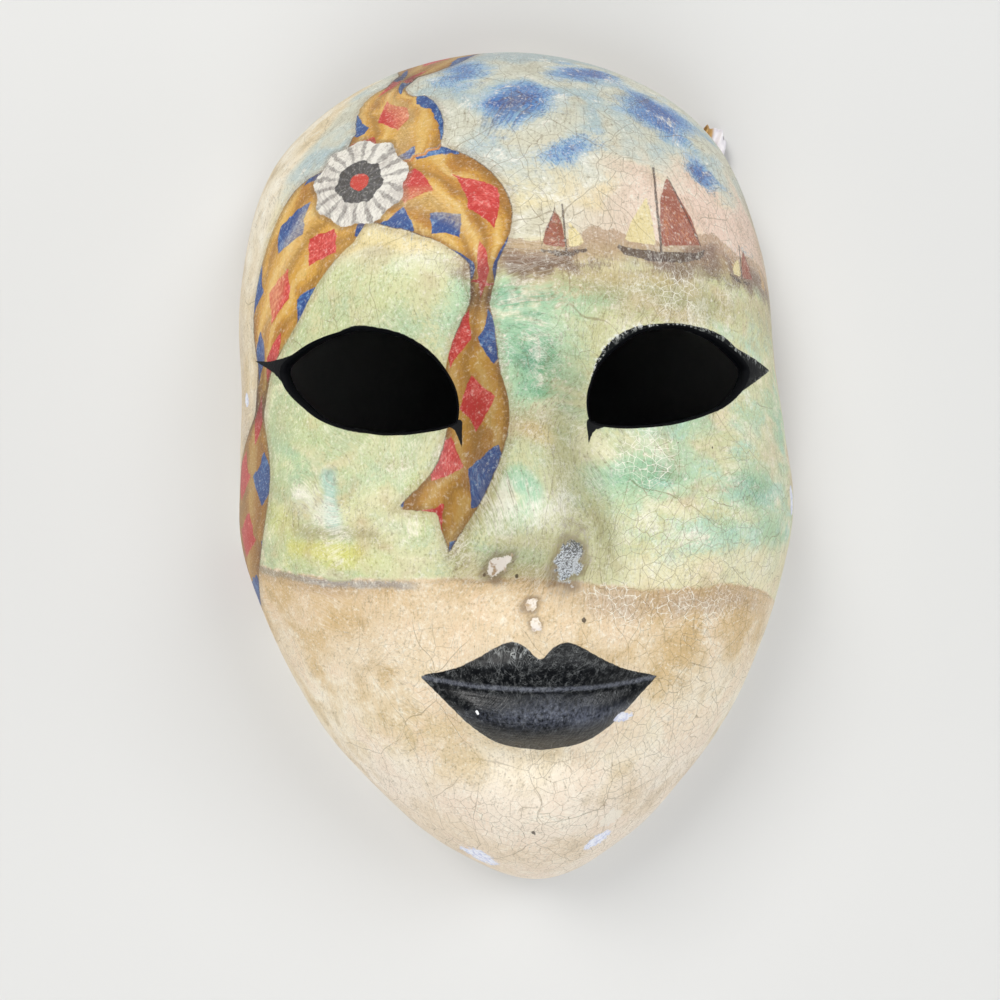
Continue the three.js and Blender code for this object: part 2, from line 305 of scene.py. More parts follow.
def outward(loop):
    """The outward direction at each point of a counter-clockwise loop."""
    way = np.roll(loop, -1, 0) - np.roll(loop, 1, 0)
    return unit(np.stack([way[:, 1], -way[:, 0]], 1))


for eye in EYES:
    hole = eye_outline(eye)
    way = outward(hole)
    wander = 0.22 * uneven(hole[:, 0], hole[:, 1], 5.0, shift=3.0)
    eye["hole"] = hole + way * wander[:, None]
    print("eye hole", "left" if eye["side"] < 0 else "right", len(hole), "points round")

# %% [markdown]
# ## A flat pattern of the face
#
# A fine mesh wants triangles of one size everywhere, also on the upright side walls.
# Rolling the dome out flat, with distances measured along its surface, gives a pattern
# in which an even grid stays even on the mask. The same pattern later carries the
# cracks and brush marks, so they don't smear down the sides.

# %% Rolling the dome out and back
SHARES = np.linspace(0, 1, 181)
ANGLES = np.linspace(0, 2 * np.pi, 361)


def dome_section(phi):
    rho = np.sin(SHARES * np.pi / 2)
    return outline_radius(phi) * rho, dome(phi, rho)


ROLLED = np.array([np.sum(np.hypot(*np.diff(dome_section(phi)))) for phi in ANGLES])


def flatten(x, y):
    """From (x, y) on the mask to its place on the flat pattern."""
    phi, rho = polar(x, y)
    away = 2 / np.pi * np.arcsin(np.clip(rho, 0, 1)) * np.interp(phi % (2 * np.pi), ANGLES, ROLLED)
    return away * np.sin(phi), away * np.cos(phi)


def unflatten(u, v):
    """From the flat pattern back to (x, y), with the share of the way to the rim."""
    phi = np.arctan2(u, v)
    share = np.clip(np.hypot(u, v) / np.interp(phi % (2 * np.pi), ANGLES, ROLLED), 0, 1)
    return *from_centre(phi, outline_radius(phi) * np.sin(share * np.pi / 2)), share


print("pattern radius", round(ROLLED.min()), "to", round(ROLLED.max()), "mm")

# %% Chips, and the finished surface
CHIP_DEPTH = 0.35
# Each chip of lost paint: middle x, y, half width, half height and turn in degrees.
CHIPS = [(-14.2, -103.2, 4.4, 3.0, -28), (15.6, -96.8, 3.9, 2.2, 34), (18.6, -89.6, 2.8, 2.2, 52),
         (20.4, -60.9, 1.9, 1.3, 0), (-6.6, -25.2, 3.0, 1.7, 44), (8.2, -24.7, 2.7, 4.7, -6),
         (0.5, -34.3, 1.5, 1.3, 0), (1.2, -38.6, 1.1, 1.4, 10), (73.5, -14.0, 1.4, 3.4, 8),
         (66.0, -62.0, 1.2, 1.0, 0), (-72.0, 18.0, 0.9, 1.6, 10)]


def oval(x, y, cx, cy, sx, sy, turn):
    """How far out a point is in a leaning oval: 0 in its middle, 1 on its edge."""
    c, s = math.cos(math.radians(turn)), math.sin(math.radians(turn))
    return np.hypot(((x - cx) * c + (y - cy) * s) / sx, ((y - cy) * c - (x - cx) * s) / sy)


def chipped(x, y):
    """Above 0 inside a chip, falling away outside, about one unit per half width."""
    nearest = np.min([oval(x, y, *chip) for chip in CHIPS], axis=0)
    return np.maximum(1.1 + 0.35 * uneven(x, y, 1.7, shift=5.0) - nearest, -9.0)


def surface(u, v, outside=True):
    """Points of the face in millimetres, from the flat pattern."""
    x, y, share = unflatten(u, v)
    z = height(x, y, outside)
    if outside:
        z = z + 0.22 * uneven(u, v, 13.0) + 0.06 * uneven(u, v, 4.0, shift=9.0)
        z = z - CHIP_DEPTH * smooth(-0.15, 0.25, chipped(x, y)) * smooth(1.0, 0.97, share)
    return np.stack([x, y, z], -1)


def facing(u, v, outside=True, step=0.3):
    """The outward normal of the face."""
    du = surface(u + step, v, outside) - surface(u - step, v, outside)
    dv = surface(u, v + step, outside) - surface(u, v - step, outside)
    return unit(np.cross(du, dv))


print("chips of lost paint:", len(CHIPS))

# %% [markdown]
# ## The shell's skin
#
# A subdivided grid can't follow a hand-cut almond hole, and a boolean leaves slivers
# round it. A constrained triangulation of evenly spread points takes the rim and the
# eye outlines as fixed lines, so the mesh stays even right up to every edge. The
# outside and the inside are made this way, and strips of rounded edge join them.

# %% Helpers that triangulate a patch
NOTCH_ANGLE, NOTCH_HEIGHT = math.radians(31.1), 6.2
ROW_HEIGHT = 0.866  # of a triangle with equal sides
CLEARANCE = 0.62  # between an edge and the loose points, in spacings


def inside_loop(px, py, loop):
    """True for points inside a closed loop, by counting crossings."""
    hit = np.zeros(np.shape(px), bool)
    for (x0, y0), (x1, y1) in zip(loop, np.roll(loop, -1, 0)):
        if y0 != y1:
            crosses = (py < y0) != (py < y1)
            hit ^= crosses & (px < (x1 - x0) * (py - y0) / (y1 - y0) + x0)
    return hit


def distance_to(px, py, loop):
    """Distance from points to a closed line."""
    best = np.full(np.shape(px), 1e9)
    for (x0, y0), (x1, y1) in zip(loop, np.roll(loop, -1, 0)):
        wx, wy = x1 - x0, y1 - y0
        t = np.clip(((px - x0) * wx + (py - y0) * wy) / max(wx * wx + wy * wy, 1e-12), 0, 1)
        best = np.minimum(best, (px - x0 - t * wx) ** 2 + (py - y0 - t * wy) ** 2)
    return np.sqrt(best)


def rim_lift(phi):
    """How far the rim is raised off the table where the ribbon passes under it."""
    along_rim = np.abs(phi - NOTCH_ANGLE) * outline_radius(np.array(NOTCH_ANGLE))
    return NOTCH_HEIGHT * smooth(14.0, 5.5, along_rim)


def patch(edge, holes, spacing):
    """Points and triangles of the flat pattern between its edge and its holes."""
    reach = np.abs(edge).max() + spacing
    rows = np.arange(-reach, reach, spacing * ROW_HEIGHT)
    columns = np.arange(-reach, reach, spacing)
    u, v = np.meshgrid(columns, rows)
    u = (u + (np.arange(len(rows)) % 2)[:, None] * spacing / 2).ravel()
    v = v.ravel()
    keep = inside_loop(u, v, edge)
    u, v = u[keep], v[keep]
    for loop in [edge] + holes:
        near = distance_to(u, v, loop) < CLEARANCE * spacing
        within = inside_loop(u, v, loop) if loop is not edge else np.zeros(len(u), bool)
        u, v = u[~(near | within)], v[~(near | within)]
    points = [np.stack([u, v], 1), edge] + holes
    first = np.cumsum([0] + [len(p) for p in points])
    lines = [(a + k, a + (k + 1) % n) for a, n in
             zip(first[1:-1].tolist(), [len(p) for p in points[1:]]) for k in range(n)]
    flat = np.concatenate(points)
    made = delaunay_2d_cdt([Vector(p) for p in flat.tolist()], lines, [], 0, 1e-7, True)
    source = np.array([ids[0] for ids in made[3]])
    triangles = source[np.array(made[2])]
    middle = flat[triangles].mean(1)
    keep = inside_loop(middle[:, 0], middle[:, 1], edge)
    for loop in holes:
        keep &= ~inside_loop(middle[:, 0], middle[:, 1], loop)
    return flat, triangles[keep], first


print("rim lifted", round(float(rim_lift(np.array(NOTCH_ANGLE))), 1), "mm over the ribbon")

# %% Outside and inside
SPACING_OUT, SPACING_IN = 1.1, 2.4
ROLL_OUT, ROLL_IN = 0.9, 0.6  # how much of the two skins the rounded edges take


def rolled_edge():
    """The rim on the flat pattern, where the outside comes down to its rounded edge."""
    turn = np.linspace(0, 2 * np.pi, 721)[:-1]
    edge = np.stack([np.sin(turn), np.cos(turn)], 1) * outline_radius(turn)[:, None]
    edge = evenly(edge, 1.15)[::-1]
    phi = np.arctan2(edge[:, 0], edge[:, 1])
    share = np.array([np.interp(-rim_lift(p) - ROLL_OUT, -dome_section(p)[1], SHARES)
                      for p in phi])
    away = share * np.interp(phi % (2 * np.pi), ANGLES, ROLLED)
    return np.stack([away * np.sin(phi), away * np.cos(phi)], 1), phi


def flat_loop(loop, offset):
    """A loop widened by an offset, on the flat pattern."""
    return np.stack(flatten(*(loop + outward(loop) * offset).T), 1)


EDGE, EDGE_PHI = rolled_edge()
outer_flat, outer_faces, outer_first = patch(
    EDGE, [flat_loop(eye["hole"], ROLL_OUT) for eye in EYES], SPACING_OUT)
inner_flat, inner_faces, inner_first = patch(
    EDGE, [flat_loop(eye["hole"], ROLL_IN) for eye in EYES], SPACING_IN)
outer_points = surface(*outer_flat.T)
inner_points = surface(*inner_flat.T, False) - WALL * facing(*inner_flat.T, False)
print(len(outer_flat), "points outside and", len(inner_flat), "inside")

# %% Rounded edges that join the two skins
OUTSIDE, EYE_EDGE, RIM, INSIDE = range(4)
points, flats = [outer_points], [outer_flat]
faces, kinds = [outer_faces], [np.full(len(outer_faces), OUTSIDE)]


def add_points(more, flat):
    """Adds points to the shell and returns the number of the first one."""
    points.append(more)
    flats.append(flat)
    return sum(len(p) for p in points) - len(more)


def add_strip(first_a, first_b, count, kind):
    """Two triangles between each pair of neighbours on two loops."""
    k = np.arange(count)
    a, a2, b, b2 = first_a + k, first_a + (k + 1) % count, first_b + k, first_b + (k + 1) % count
    faces.append(np.concatenate([np.stack([a, b, b2], 1), np.stack([a, b2, a2], 1)]))
    kinds.append(np.full(2 * count, kind))


inner_start = add_points(inner_points, inner_flat)
faces.append(inner_faces[:, ::-1] + inner_start)
kinds.append(np.full(len(inner_faces), INSIDE))

# The rim: rounded outer corner, the flat that rests on the table, rounded inner corner.
RIM_SECTION = [(0.1, 0.45), (0.45, 0.1), (0.95, 0.0), (1.9, 0.0), (2.4, 0.12), (2.72, 0.5)]
edge_points = outer_points[outer_first[1]:outer_first[2]]
out = outward(edge_points[:, :2])
lift = rim_lift(EDGE_PHI)
last = outer_first[1]
for inwards, above in RIM_SECTION:
    ring = np.column_stack([edge_points[:, :2] - out * inwards, lift + above])
    ring[:, 2] += 0.1 * (1 + uneven(ring[:, 0], ring[:, 1], 9.0)) * (above > 0)
    start = add_points(ring, EDGE)
    add_strip(last, start, len(EDGE), RIM)
    last = start
add_strip(last, inner_start + inner_first[1], len(EDGE), RIM)

# The eye holes: a rolled lip and the cut edge through the wall.
CUT_SECTION = [(0.35, 0.1), (0.06, 0.45), (0.0, 1.1), (0.0, 1.9), (0.12, 2.55)]
for n, eye in enumerate(EYES):
    last = outer_first[2 + n]
    count = len(eye["hole"])
    for offset, depth in CUT_SECTION:
        flat = flat_loop(eye["hole"], offset)
        cut = surface(*flat.T) - depth * facing(*flat.T)
        start = add_points(cut, flat)
        add_strip(start, last, count, EYE_EDGE)
        last = start
    add_strip(inner_start + inner_first[2 + n], last, count, EYE_EDGE)

points, flats, faces = np.concatenate(points), np.concatenate(flats), np.concatenate(faces)
kinds = np.concatenate(kinds)
print(len(points), "points and", len(faces), "triangles in the shell")

# %% [markdown]
# ## Drawing the picture
#
# The painter worked on the primed face with thin washes first and crisp shapes after.
# A crisp shape is stored as a signed distance: how many millimetres a point lies inside
# its outline, or outside as a minus. The shader cuts it at zero, with a little noise
# added, so the edge is sharp at any zoom and still wanders like a brush line.

# %% Helpers for painted shapes
X, Y = points[:, 0], points[:, 1]
FIELDS = {}  # what the paint reads at each point of the mesh


def curve_through(knots, steps=10):
    """A smooth line through the knots."""
    knots = np.array(knots, float)
    knots = np.vstack([2 * knots[:1] - knots[1:2], knots, 2 * knots[-1:] - knots[-2:-1]])
    spans = zip(knots, knots[1:], knots[2:], knots[3:])
    line = [bend(*span, t) for span in spans for t in np.arange(steps) / steps]
    return np.array(line + [knots[-2]])


def inside_by(outline, x=None, y=None):
    """Signed distance in millimetres, above 0 inside the outline."""
    x, y = (X, Y) if x is None else (x, y)
    apart = distance_to(x, y, outline)
    return np.where(inside_loop(x, y, outline), apart, -apart)


print("painting on", len(X), "points")

# %% [markdown]
# ## Black lips and eye lines
#
# The lips are one glossy black shape that covers the modelled mouth: two peaks, a dip
# between them, long corners and a full lower edge. The eye line runs round each hole
# and is drawn out to a point beyond the outer corner and down beside the nose.

# %% Lips and eye lines
LIP_TOP = [(0, -45.7), (1.3, -44.7), (3.2, -43.0), (6.2, -42.1), (9.6, -43.4), (13.4, -45.6),
           (19.0, -48.4), (27.0, -51.0)]
LIP_LOW = [(27.0, -51.0), (21.0, -56.4), (15.0, -62.0), (8.8, -66.3), (0, -68.0)]
lip_half = np.vstack([curve_through(LIP_TOP)[:-1], curve_through(LIP_LOW)])
lip_outline = np.vstack([lip_half, lip_half[::-1][1:-1] * (-1, 1)]) + (MOUTH_X + 0.3, 0)
lip_outline[:, 1] -= LIP_TILT * (lip_outline[:, 0] - MOUTH_X)
FIELDS["lips"] = inside_by(lip_outline)

EYE_TIPS = {-1: ((-66.0, 26.2, 6.0, 0.8), (-13.6, 3.6, 2.4, 0.8)),
            1: ((66.4, 20.4, 15.0, 0.05), (14.6, 2.0, 4.6, 0.9))}  # x, y, base, hollowness


def flick(start, tip, end, hollowness, steps=9):
    """A brush flick: both sides sink inwards on the way to the tip."""
    start, tip, end = np.array(start), np.array(tip), np.array(end)
    t = np.linspace(0, 1, steps)[:, None]
    heart = (start + end) / 2 * 0.55 + tip * 0.45
    sides = []
    for side in (start, end):
        waist = heart * hollowness + (side + tip) / 2 * (1 - hollowness)
        sides.append((1 - t) ** 2 * side + 2 * t * (1 - t) * waist + t**2 * tip)
    return np.vstack([sides[0], sides[1][::-1][1:]])


line_far = np.full(len(X), -99.0)
for eye in EYES:
    hole, side = eye["hole"], eye["side"]
    outer_tip, inner_tip = EYE_TIPS[side]
    band = 0.75 + 0.35 * bump(X, Y, 34 * side, 28, 26, 7) + 0.25 * uneven(X, Y, 6.0, shift=2.0)
    if side > 0:
        band += 1.5 * bump(X, Y, 22, 25, 7, 6) + 1.0 * bump(X, Y, 48, 26, 10, 6)
    line_far = np.maximum(line_far, band + inside_by(hole))
    for corner, (*tip, spread, hollowness) in ((eye["outer"], outer_tip), (eye["inner"], inner_tip)):
        corner = np.array(corner) * (side, 1)
        near = np.hypot(*(hole - corner).T)
        ends = hole[(near < spread) & (near > spread - 1.3)]
        base = [ends[np.argmax(ends[:, 1])], ends[np.argmin(ends[:, 1])]]
        middle = np.mean(base, 0)
        base = [p + 0.7 * unit(p - middle) for p in base]
        line_far = np.maximum(line_far, inside_by(flick(base[0], tip, base[1], hollowness)))
FIELDS["liner"] = line_far
print("lips", round(np.ptp(lip_outline[:, 0])), "mm wide; eye lines drawn round both holes")

# %% [markdown]
# ## A cockade with lozenge ribbons
#
# Diamonds in red and blue on ochre are the oldest pattern of carnival cloth. Here they
# run along three painted ribbons that hang in loose turns from a pleated cockade: one
# up to the crown, one down past the outer corner of the eye and one beside the nose.
# A ribbon that turns stands edge-on for a moment and then shows its other face, so a
# turn angle along its length gives the width that shows and the squeeze of the pattern.

# %% Ribbons and cockade
# Middle line, half widths and turn angle (both by distance along the line), length.
RIBBONS = [
    ([(-36, 64), (-27, 77), (-30, 90), (-23, 103), (-15, 117), (-12, 132)],
     [(0, 8), (14, 11), (60, 10), (95, 10)],
     [(0, 20), (14, 0), (30, 50), (44, 130), (58, 186), (90, 190)], 90),
    ([(-36, 64), (-46, 57), (-54, 46), (-60, 33), (-65, 17), (-69, 0), (-72, -16), (-77, -30),
      (-82, -42)],
     [(0, 9), (12, 12), (30, 10.5), (60, 8), (140, 7.5)],
     [(0, 20), (14, 0), (32, 30), (52, 80), (64, 116), (80, 170), (96, 182), (140, 230)], 126),
    ([(-36, 64), (-22, 62), (-11.5, 55), (-7.5, 43), (-9, 30), (-11, 18), (-10, 6), (-14, -6),
      (-22, -16), (-30, -25), (-37, -34)],
     [(0, 9), (12, 12), (26, 11.5), (42, 9.5), (70, 6.5), (110, 7.5)],
     [(0, 15), (14, 0), (28, 24), (42, 76), (54, 122), (68, 166), (84, 184), (130, 190)], 104)]


def beside(line, x, y):
    """Distance along a line and across it, for every point."""
    best = np.full(len(x), 1e9)
    run, side = np.zeros(len(x)), np.zeros(len(x))
    start = 0.0
    for a, b in zip(line, line[1:]):
        w = b - a
        length = math.hypot(*w)
        t = ((x - a[0]) * w[0] + (y - a[1]) * w[1]) / length**2
        apart = np.hypot(x - a[0] - np.clip(t, 0, 1) * w[0], y - a[1] - np.clip(t, 0, 1) * w[1])
        nearer = apart < best
        best[nearer] = apart[nearer]
        run[nearer] = (start + np.clip(t, 0, 1) * length)[nearer]
        turn = w[0] * (y - a[1]) - w[1] * (x - a[0])
        side[nearer] = (np.sign(turn) * apart)[nearer]
        start += length
    return run, side


RUN_APART = 200  # added for each ribbon, so that no two carry the same run of diamonds
pieces = []
for n, (knots, half_widths, turns, length) in enumerate(RIBBONS):
    run, across_line = beside(curve_through(knots, 10), X, Y)
    turned = np.cos(np.radians(along(turns, run)))
    showing = np.maximum(np.abs(turned), 0.3)
    half = along(half_widths, run) * showing + 0.5 * np.sin(run / 6.0 + n)
    notch = length - run - 5.0 * (1 - np.abs(across_line) / half)  # the swallow-tail end
    inside = np.minimum(half - np.abs(across_line), 0.75 * notch)
    across_cloth = across_line / (showing * np.where(turned < 0, -1, 1))
    pieces.append([inside, run + RUN_APART * n, across_cloth, turned])
pieces = np.array(pieces)
on_top = np.argmax(pieces[:, 0], axis=0)  # the ribbon that each point is deepest in
for name, values in zip(("cloth", "cloth_run", "cloth_side", "cloth_turn"), pieces.swapaxes(0, 1)):
    FIELDS[name] = values[on_top, np.arange(len(X))]
COCKADE_X, COCKADE_Y, COCKADE_SIZE = -36.0, 65.0, 11.5
print(len(RIBBONS), "ribbons and a cockade", 2 * COCKADE_SIZE, "mm wide")

# %% [markdown]
# ## Sea, hills and small boats
#
# The forehead carries a pale sky, low brown hills and a few boats with lug sails, and
# the middle of the face is the green water below them. The boats are drawn from one
# small hull and two sails, set down at three sizes.

# %% Hills, boats, clouds and washes
HULL = [(-1.05, 0.2), (-0.85, -0.05), (-0.3, -0.2), (0.4, -0.2), (0.9, -0.05), (1.2, 0.3),
        (0.8, 0.08), (0, 0.02), (-0.7, 0.08)]
MAIN_SAIL = [(0.0, 0.14), (0.95, 0.28), (0.8, 0.9), (0.32, 1.9), (0.1, 1.3), (0.02, 0.7)]
FORE_SAIL = [(-0.12, 0.16), (-0.8, 0.24), (-0.62, 0.7), (-0.2, 1.35), (-0.14, 0.8)]
BOATS = [(33.0, 43.5, 10.8, 1), (11.0, 43.8, 5.6, -1), (55.5, 40.5, 4.4, 1)]


def drawn(shape):
    """Signed distance of one shape set down at every boat."""
    best = np.full(len(X), -20.0)
    for x, y, size, mirror in BOATS:
        outline = np.array(shape) * (size * mirror, size) + (x, y)
        near = (np.abs(X - x) < 3 * size) & (np.abs(Y - y) < 3.4 * size)
        best[near] = np.maximum(best[near], inside_by(outline, X[near], Y[near]))
    return best


def heaps(washes, x=X, y=Y):
    """Soft-edged washes added up: middle, half width and height, and strength of each."""
    return sum(strength * bump(x, y, *place) for *place, strength in washes)


FIELDS.update(rust=drawn(MAIN_SAIL), canvas=drawn(FORE_SAIL), umber=drawn(HULL))
# Each top is a ridge across the whole height, so its y stays 0 and its half height 1.
HILL_TOPS = [(-2, 0, 9, 1, 3.5), (19, 0, 8, 1, 5.5), (46, 0, 9, 1, 7.0), (62, 0, 7, 1, 5.0)]
FIELDS["hill"] = (44.5 + heaps(HILL_TOPS, X, 0 * X) - 0.0011 * (X - 20) ** 2
                  + 0.9 * uneven(X, Y * 0, 3.0) - Y)
CLOUDS = [(36, 85, 11, 7, -32, 1.15), (19, 97, 12, 5, 14, 1.1), (2, 84, 10, 7.5, 35, 1.25),
          (-12, 97, 9, 7, 0, 0.8), (46, 67, 6, 4, -50, 0.95), (14, 70, 9, 4, 15, 0.75),
          (18, 111, 13, 3.6, -10, 0.7), (-30, 84, 8, 5, 40, 0.6)]
FIELDS["cloud"] = np.max([depth * np.exp(-oval(X, Y, *place) ** 2)
                          for *place, depth in CLOUDS], axis=0)
GREENS = [(-6, 28, 9, 9, 1.0), (4, 16, 8, 10, 1.3), (28, -6, 11, 7, 1.25), (56, -10, 12, 6, 0.9),
          (66, -24, 9, 6, 0.8), (36, 33, 14, 3, 0.5), (-40, -6, 9, 5, 0.5), (8, 34, 18, 4, 0.9),
          (-1, -10, 5, 4, 0.9), (44, -20, 18, 3, 0.5), (-12, 8, 5, 6, 0.6), (-2, -24, 10, 4, 0.4),
          (40, 6, 22, 4, 0.6), (70, 8, 6, 14, 0.7), (-52, 2, 8, 6, 0.5)]
FIELDS["green"] = np.clip(heaps(GREENS), 0, 1.4)
print(len(BOATS), "boats,", len(CLOUDS), "clouds,", len(GREENS), "green washes")

# %% Where the varnish has cracked and the paint has worn
# Dark cracks gather dirt on the pale paint; pale ones show the gesso through dark paint.
FIELDS["dark_cracks"] = np.clip(0.30 + heaps([
    (44, -22, 30, 20, 0.7), (38, -66, 20, 22, 0.7), (4, -90, 30, 18, 0.55), (14, 74, 40, 30, 0.35),
    (62, 74, 16, 30, 0.4), (-44, -16, 24, 24, -0.5), (-1, -6, 17, 20, -0.6)]), 0, 1)
FIELDS["pale_cracks"] = np.clip(heaps([
    (28, -2, 9, 9, 1.2), (38, -37, 20, 5.5, 1.2), (16, -33, 10, 5, 0.75), (36, 36, 30, 6, 0.7),
    (20, 22, 5, 8, 0.5)]), 0, 1)
phi, share = polar(X, Y)
FIELDS["chip"] = chipped(X, Y)
FIELDS["from_rim"] = (1 - np.clip(share, 0, 1)) * outline_radius(phi)
# Painted shade: the steep flanks of the modelled forms, the nose most of all, get a darker olive glaze
# where shade falls.
STEP = 0.4  # over which the slope is measured
slope_x = (relief(X + STEP, Y, False) - relief(X - STEP, Y, False)) / (2 * STEP)
slope_y = (relief(X, Y + STEP, False) - relief(X, Y - STEP, False)) / (2 * STEP)
steepness = np.clip(np.hypot(slope_x, slope_y * 0.7), 0, 2)
FIELDS["flank_shade"] = steepness * (1 - smooth(0.8, 1.0, share))
# Pale cream scumbles; the patch on the nose tip and the small spot left of it are a painted highlight.
FIELDS["pale"] = heaps([
    (4, -13, 8, 6, 0.6), (-4.6, -10, 1.8, 3.6, 1.0), (-1, 19, 5, 5, 0.4), (-36, -14, 16, 10, 0.5),
    (0, -86, 24, 12, 0.35), (30, 26, 30, 4, 0.5), (30, -20, 11, 8, 0.6), (-8, 74, 16, 12, 0.4),
    (54, 46, 8, 8, 0.3), (-50, -10, 9, 6, 0.8)])
# Brown glaze under the skyline and along the rim; the spots under the nose, under the lower lip and
# beside the nose are painted shade in the creases.
FIELDS["umber_glaze_and_crease_shade"] = heaps([
    (1, 5, 9, 6, 0.9), (0, -27, 17, 3.5, 0.9), (0, -36, 6, 6, 0.6), (2, -71, 24, 4, 0.6),
    (-17, -60, 5, 8, 0.4), (38, 33, 26, 6, 1.0), (16, 38, 22, 4, 0.8), (68, 60, 9, 34, 0.9),
    (-73, 20, 5, 60, 0.75), (72, -50, 8, 24, 0.5), (-62, -56, 8, 20, 0.4), (44, -10, 18, 2, 0.6),
    (18, 10, 5, 6, 0.5), (0, 44, 8, 4, 0.5), (-15, -14, 4, 14, 0.6), (-30, -2, 10, 3, 0.5)])
FIELDS["yellow"] = np.clip(heaps([
    (-58, -14, 9, 7, 1), (-42, -23, 18, 4, 0.9), (-22, -10, 6, 8, 0.8), (62, -26, 12, 3, 0.4)]), 0, 1.2)
FLECKS = [(11.9, -38.0, 0.62), (35.5, 0.5, 0.28), (44.0, -0.5, 0.28), (32.7, -28.6, 0.45),
          (-0.4, -89.7, 0.6), (-9.4, -27.0, 0.55), (-2.4, -27.4, 0.55), (-3.6, -24.2, 0.4),
          (-6.8, -22.4, 0.35), (-58.0, 22.0, 0.3), (26.0, -27.0, 0.25), (-30.0, -62.0, 0.3)]
FIELDS["fleck"] = np.max([r - np.hypot(X - x, (Y - y) * 0.6) for x, y, r in FLECKS], axis=0)
SHORE_Y = -27.7
shore = Y - SHORE_Y + np.where(X > 0, 5.6 * (1 - np.exp(-X / 25)), -2.4 * (X / 68) ** 4)
shore += 6 * np.clip((X - 45) / 20, 0, 2) ** 2 + 0.4 * uneven(X, Y * 0, 7.0, shift=3.0)
FIELDS["shore"] = shore
print("cracked:", round(100 * float((FIELDS["dark_cracks"] > 0.5).mean())), "% of the points")

# %% Slow swells that break up every wash
def swell(size, turn, shift, stretch=(1.0, 1.0)):
    """Two sizes of lump together, bent so that no grid shows."""
    c, s = math.cos(turn), math.sin(turn)
    u = (flats[:, 0] * c - flats[:, 1] * s) * stretch[0]
    v = (flats[:, 0] * s + flats[:, 1] * c) * stretch[1]
    u, v = (u + 0.5 * size * uneven(u, v, size * 0.9, shift + 31),
            v + 0.5 * size * uneven(u, v, size * 0.9, shift + 37))
    return 0.85 * uneven(u, v, size, shift) + 0.5 * uneven(u, v, size * 0.47, shift + 3)


def pushed(*pushes):
    """The flat pattern pushed about, by pairs of lump size and distance."""
    off = [sum(far * uneven(*flats.T, size, shift + size) for size, far in pushes)
           for shift in (11, 29)]
    return np.column_stack([flats[:, 0] + off[0], flats[:, 1] + off[1], 0 * off[0]])


print("swells up to", round(float(swell(9, 0.5, 2).max()), 2))

# %% Build the shell object
FIELDS.update(broad=swell(26, 0.4, 1), patches=swell(9, 1.1, 2), dabs=swell(3.6, 2.0, 3),
              breaks=swell(11, 2.7, 4), touches=swell(4.2, 0.1, 5, (0.6, 1.2)),
              touches_b=swell(5.0, 0.0, 6, (0.6, 1.2)))
PLACES = dict(spot=points, pattern=np.column_stack([flats, np.zeros(len(flats))]),
              combed=pushed((16.0, 8.0), (5.0, 0.7)), crazed=pushed((5.2, 1.1), (2.7, 0.5)))


def mesh_object(name, corners, triangles):
    """A smooth-shaded object from corners in millimetres, moved into the CAD's frame."""
    mesh = bpy.data.meshes.new(name)
    mesh.from_pydata(((corners + SHIFT) * MM).tolist(), [], triangles)
    mesh.polygons.foreach_set("use_smooth", [True] * len(mesh.polygons))
    return put(name, mesh)


def store(mesh, name, values):
    """Keeps one number, or one place of three numbers, at every point of a mesh."""
    kind, slot = ("FLOAT", "value") if values.ndim == 1 else ("FLOAT_VECTOR", "vector")
    mesh.attributes.new(name, kind, "POINT").data.foreach_set(slot, values.ravel())


shell = mesh_object("painted_shell", points, faces.tolist())
for name, values in FIELDS.items():
    store(shell.data, name, np.clip(values, -60, 900))
for name, values in PLACES.items():
    store(shell.data, name, values)

# One flat layout for baking: the outside on the left, the inside smaller on the right.
corners = flats[faces.ravel()]
at_the_back = np.repeat(kinds == INSIDE, 3)[:, None]
uv = shell.data.uv_layers.new(name="OFBake")
uv.data.foreach_set("uv", np.where(at_the_back, corners / 900.0 + (0.8, 0.5),
                                   corners / 560.0 + (0.31, 0.5)).ravel())
print("shell mesh:", len(shell.data.polygons), "triangles")

# %% [markdown]
# ## Shader sums that read as sums
#
# A painted surface is layers, each laid over the last through a mask. Wiring that by
# hand takes hundreds of lines. Here a small class wraps one output of a node, so that
# `1 - mask` or `a * b + c` adds the Math nodes by itself, and one method on the pot of
# paint makes any other node from its settings and the values of its sockets.

# %% A socket that can be added and multiplied
class Reading:
    """One output of a node; Python's operators on it add Math nodes."""

    def __init__(self, pot, socket):
        self.pot, self.socket = pot, socket

    def sum_of(self, operation, *values):
        return self.pot.node("ShaderNodeMath", {"operation": operation}, list(values))

    def __add__(self, other):
        return self.sum_of("ADD", self, other)

    def __sub__(self, other):
        return self.sum_of("SUBTRACT", self, other)

    def __rsub__(self, other):
        return self.sum_of("SUBTRACT", other, self)

    def __mul__(self, other):
        return self.sum_of("MULTIPLY", self, other)

    def __truediv__(self, other):
        return self.sum_of("DIVIDE", self, other)

    __radd__, __rmul__ = __add__, __mul__

    def most(self, other):
        return self.sum_of("MAXIMUM", self, other)

    def least(self, other):
        return self.sum_of("MINIMUM", self, other)

    def size(self):
        return self.sum_of("ABSOLUTE", self)

    def root(self):
        return self.sum_of("SQRT", self)

    def wave(self):
        return self.sum_of("SINE", self)

    def part(self):
        return self.sum_of("FRACT", self)

    def whole(self):
        return self.sum_of("FLOOR", self)

    def rise(self, start, end):
        """0 before start, 1 after end; start above end turns it round."""
        low, high, turned = min(start, end), max(start, end), start > end
        settings = {"interpolation_type": "SMOOTHSTEP"}
        values = {"Value": self, "From Min": low, "From Max": high,
                  "To Min": 1.0 if turned else 0.0, "To Max": 0.0 if turned else 1.0}
        return self.pot.node("ShaderNodeMapRange", settings, values)


print("operations on a reading:", sum(callable(entry) for entry in vars(Reading).values()))

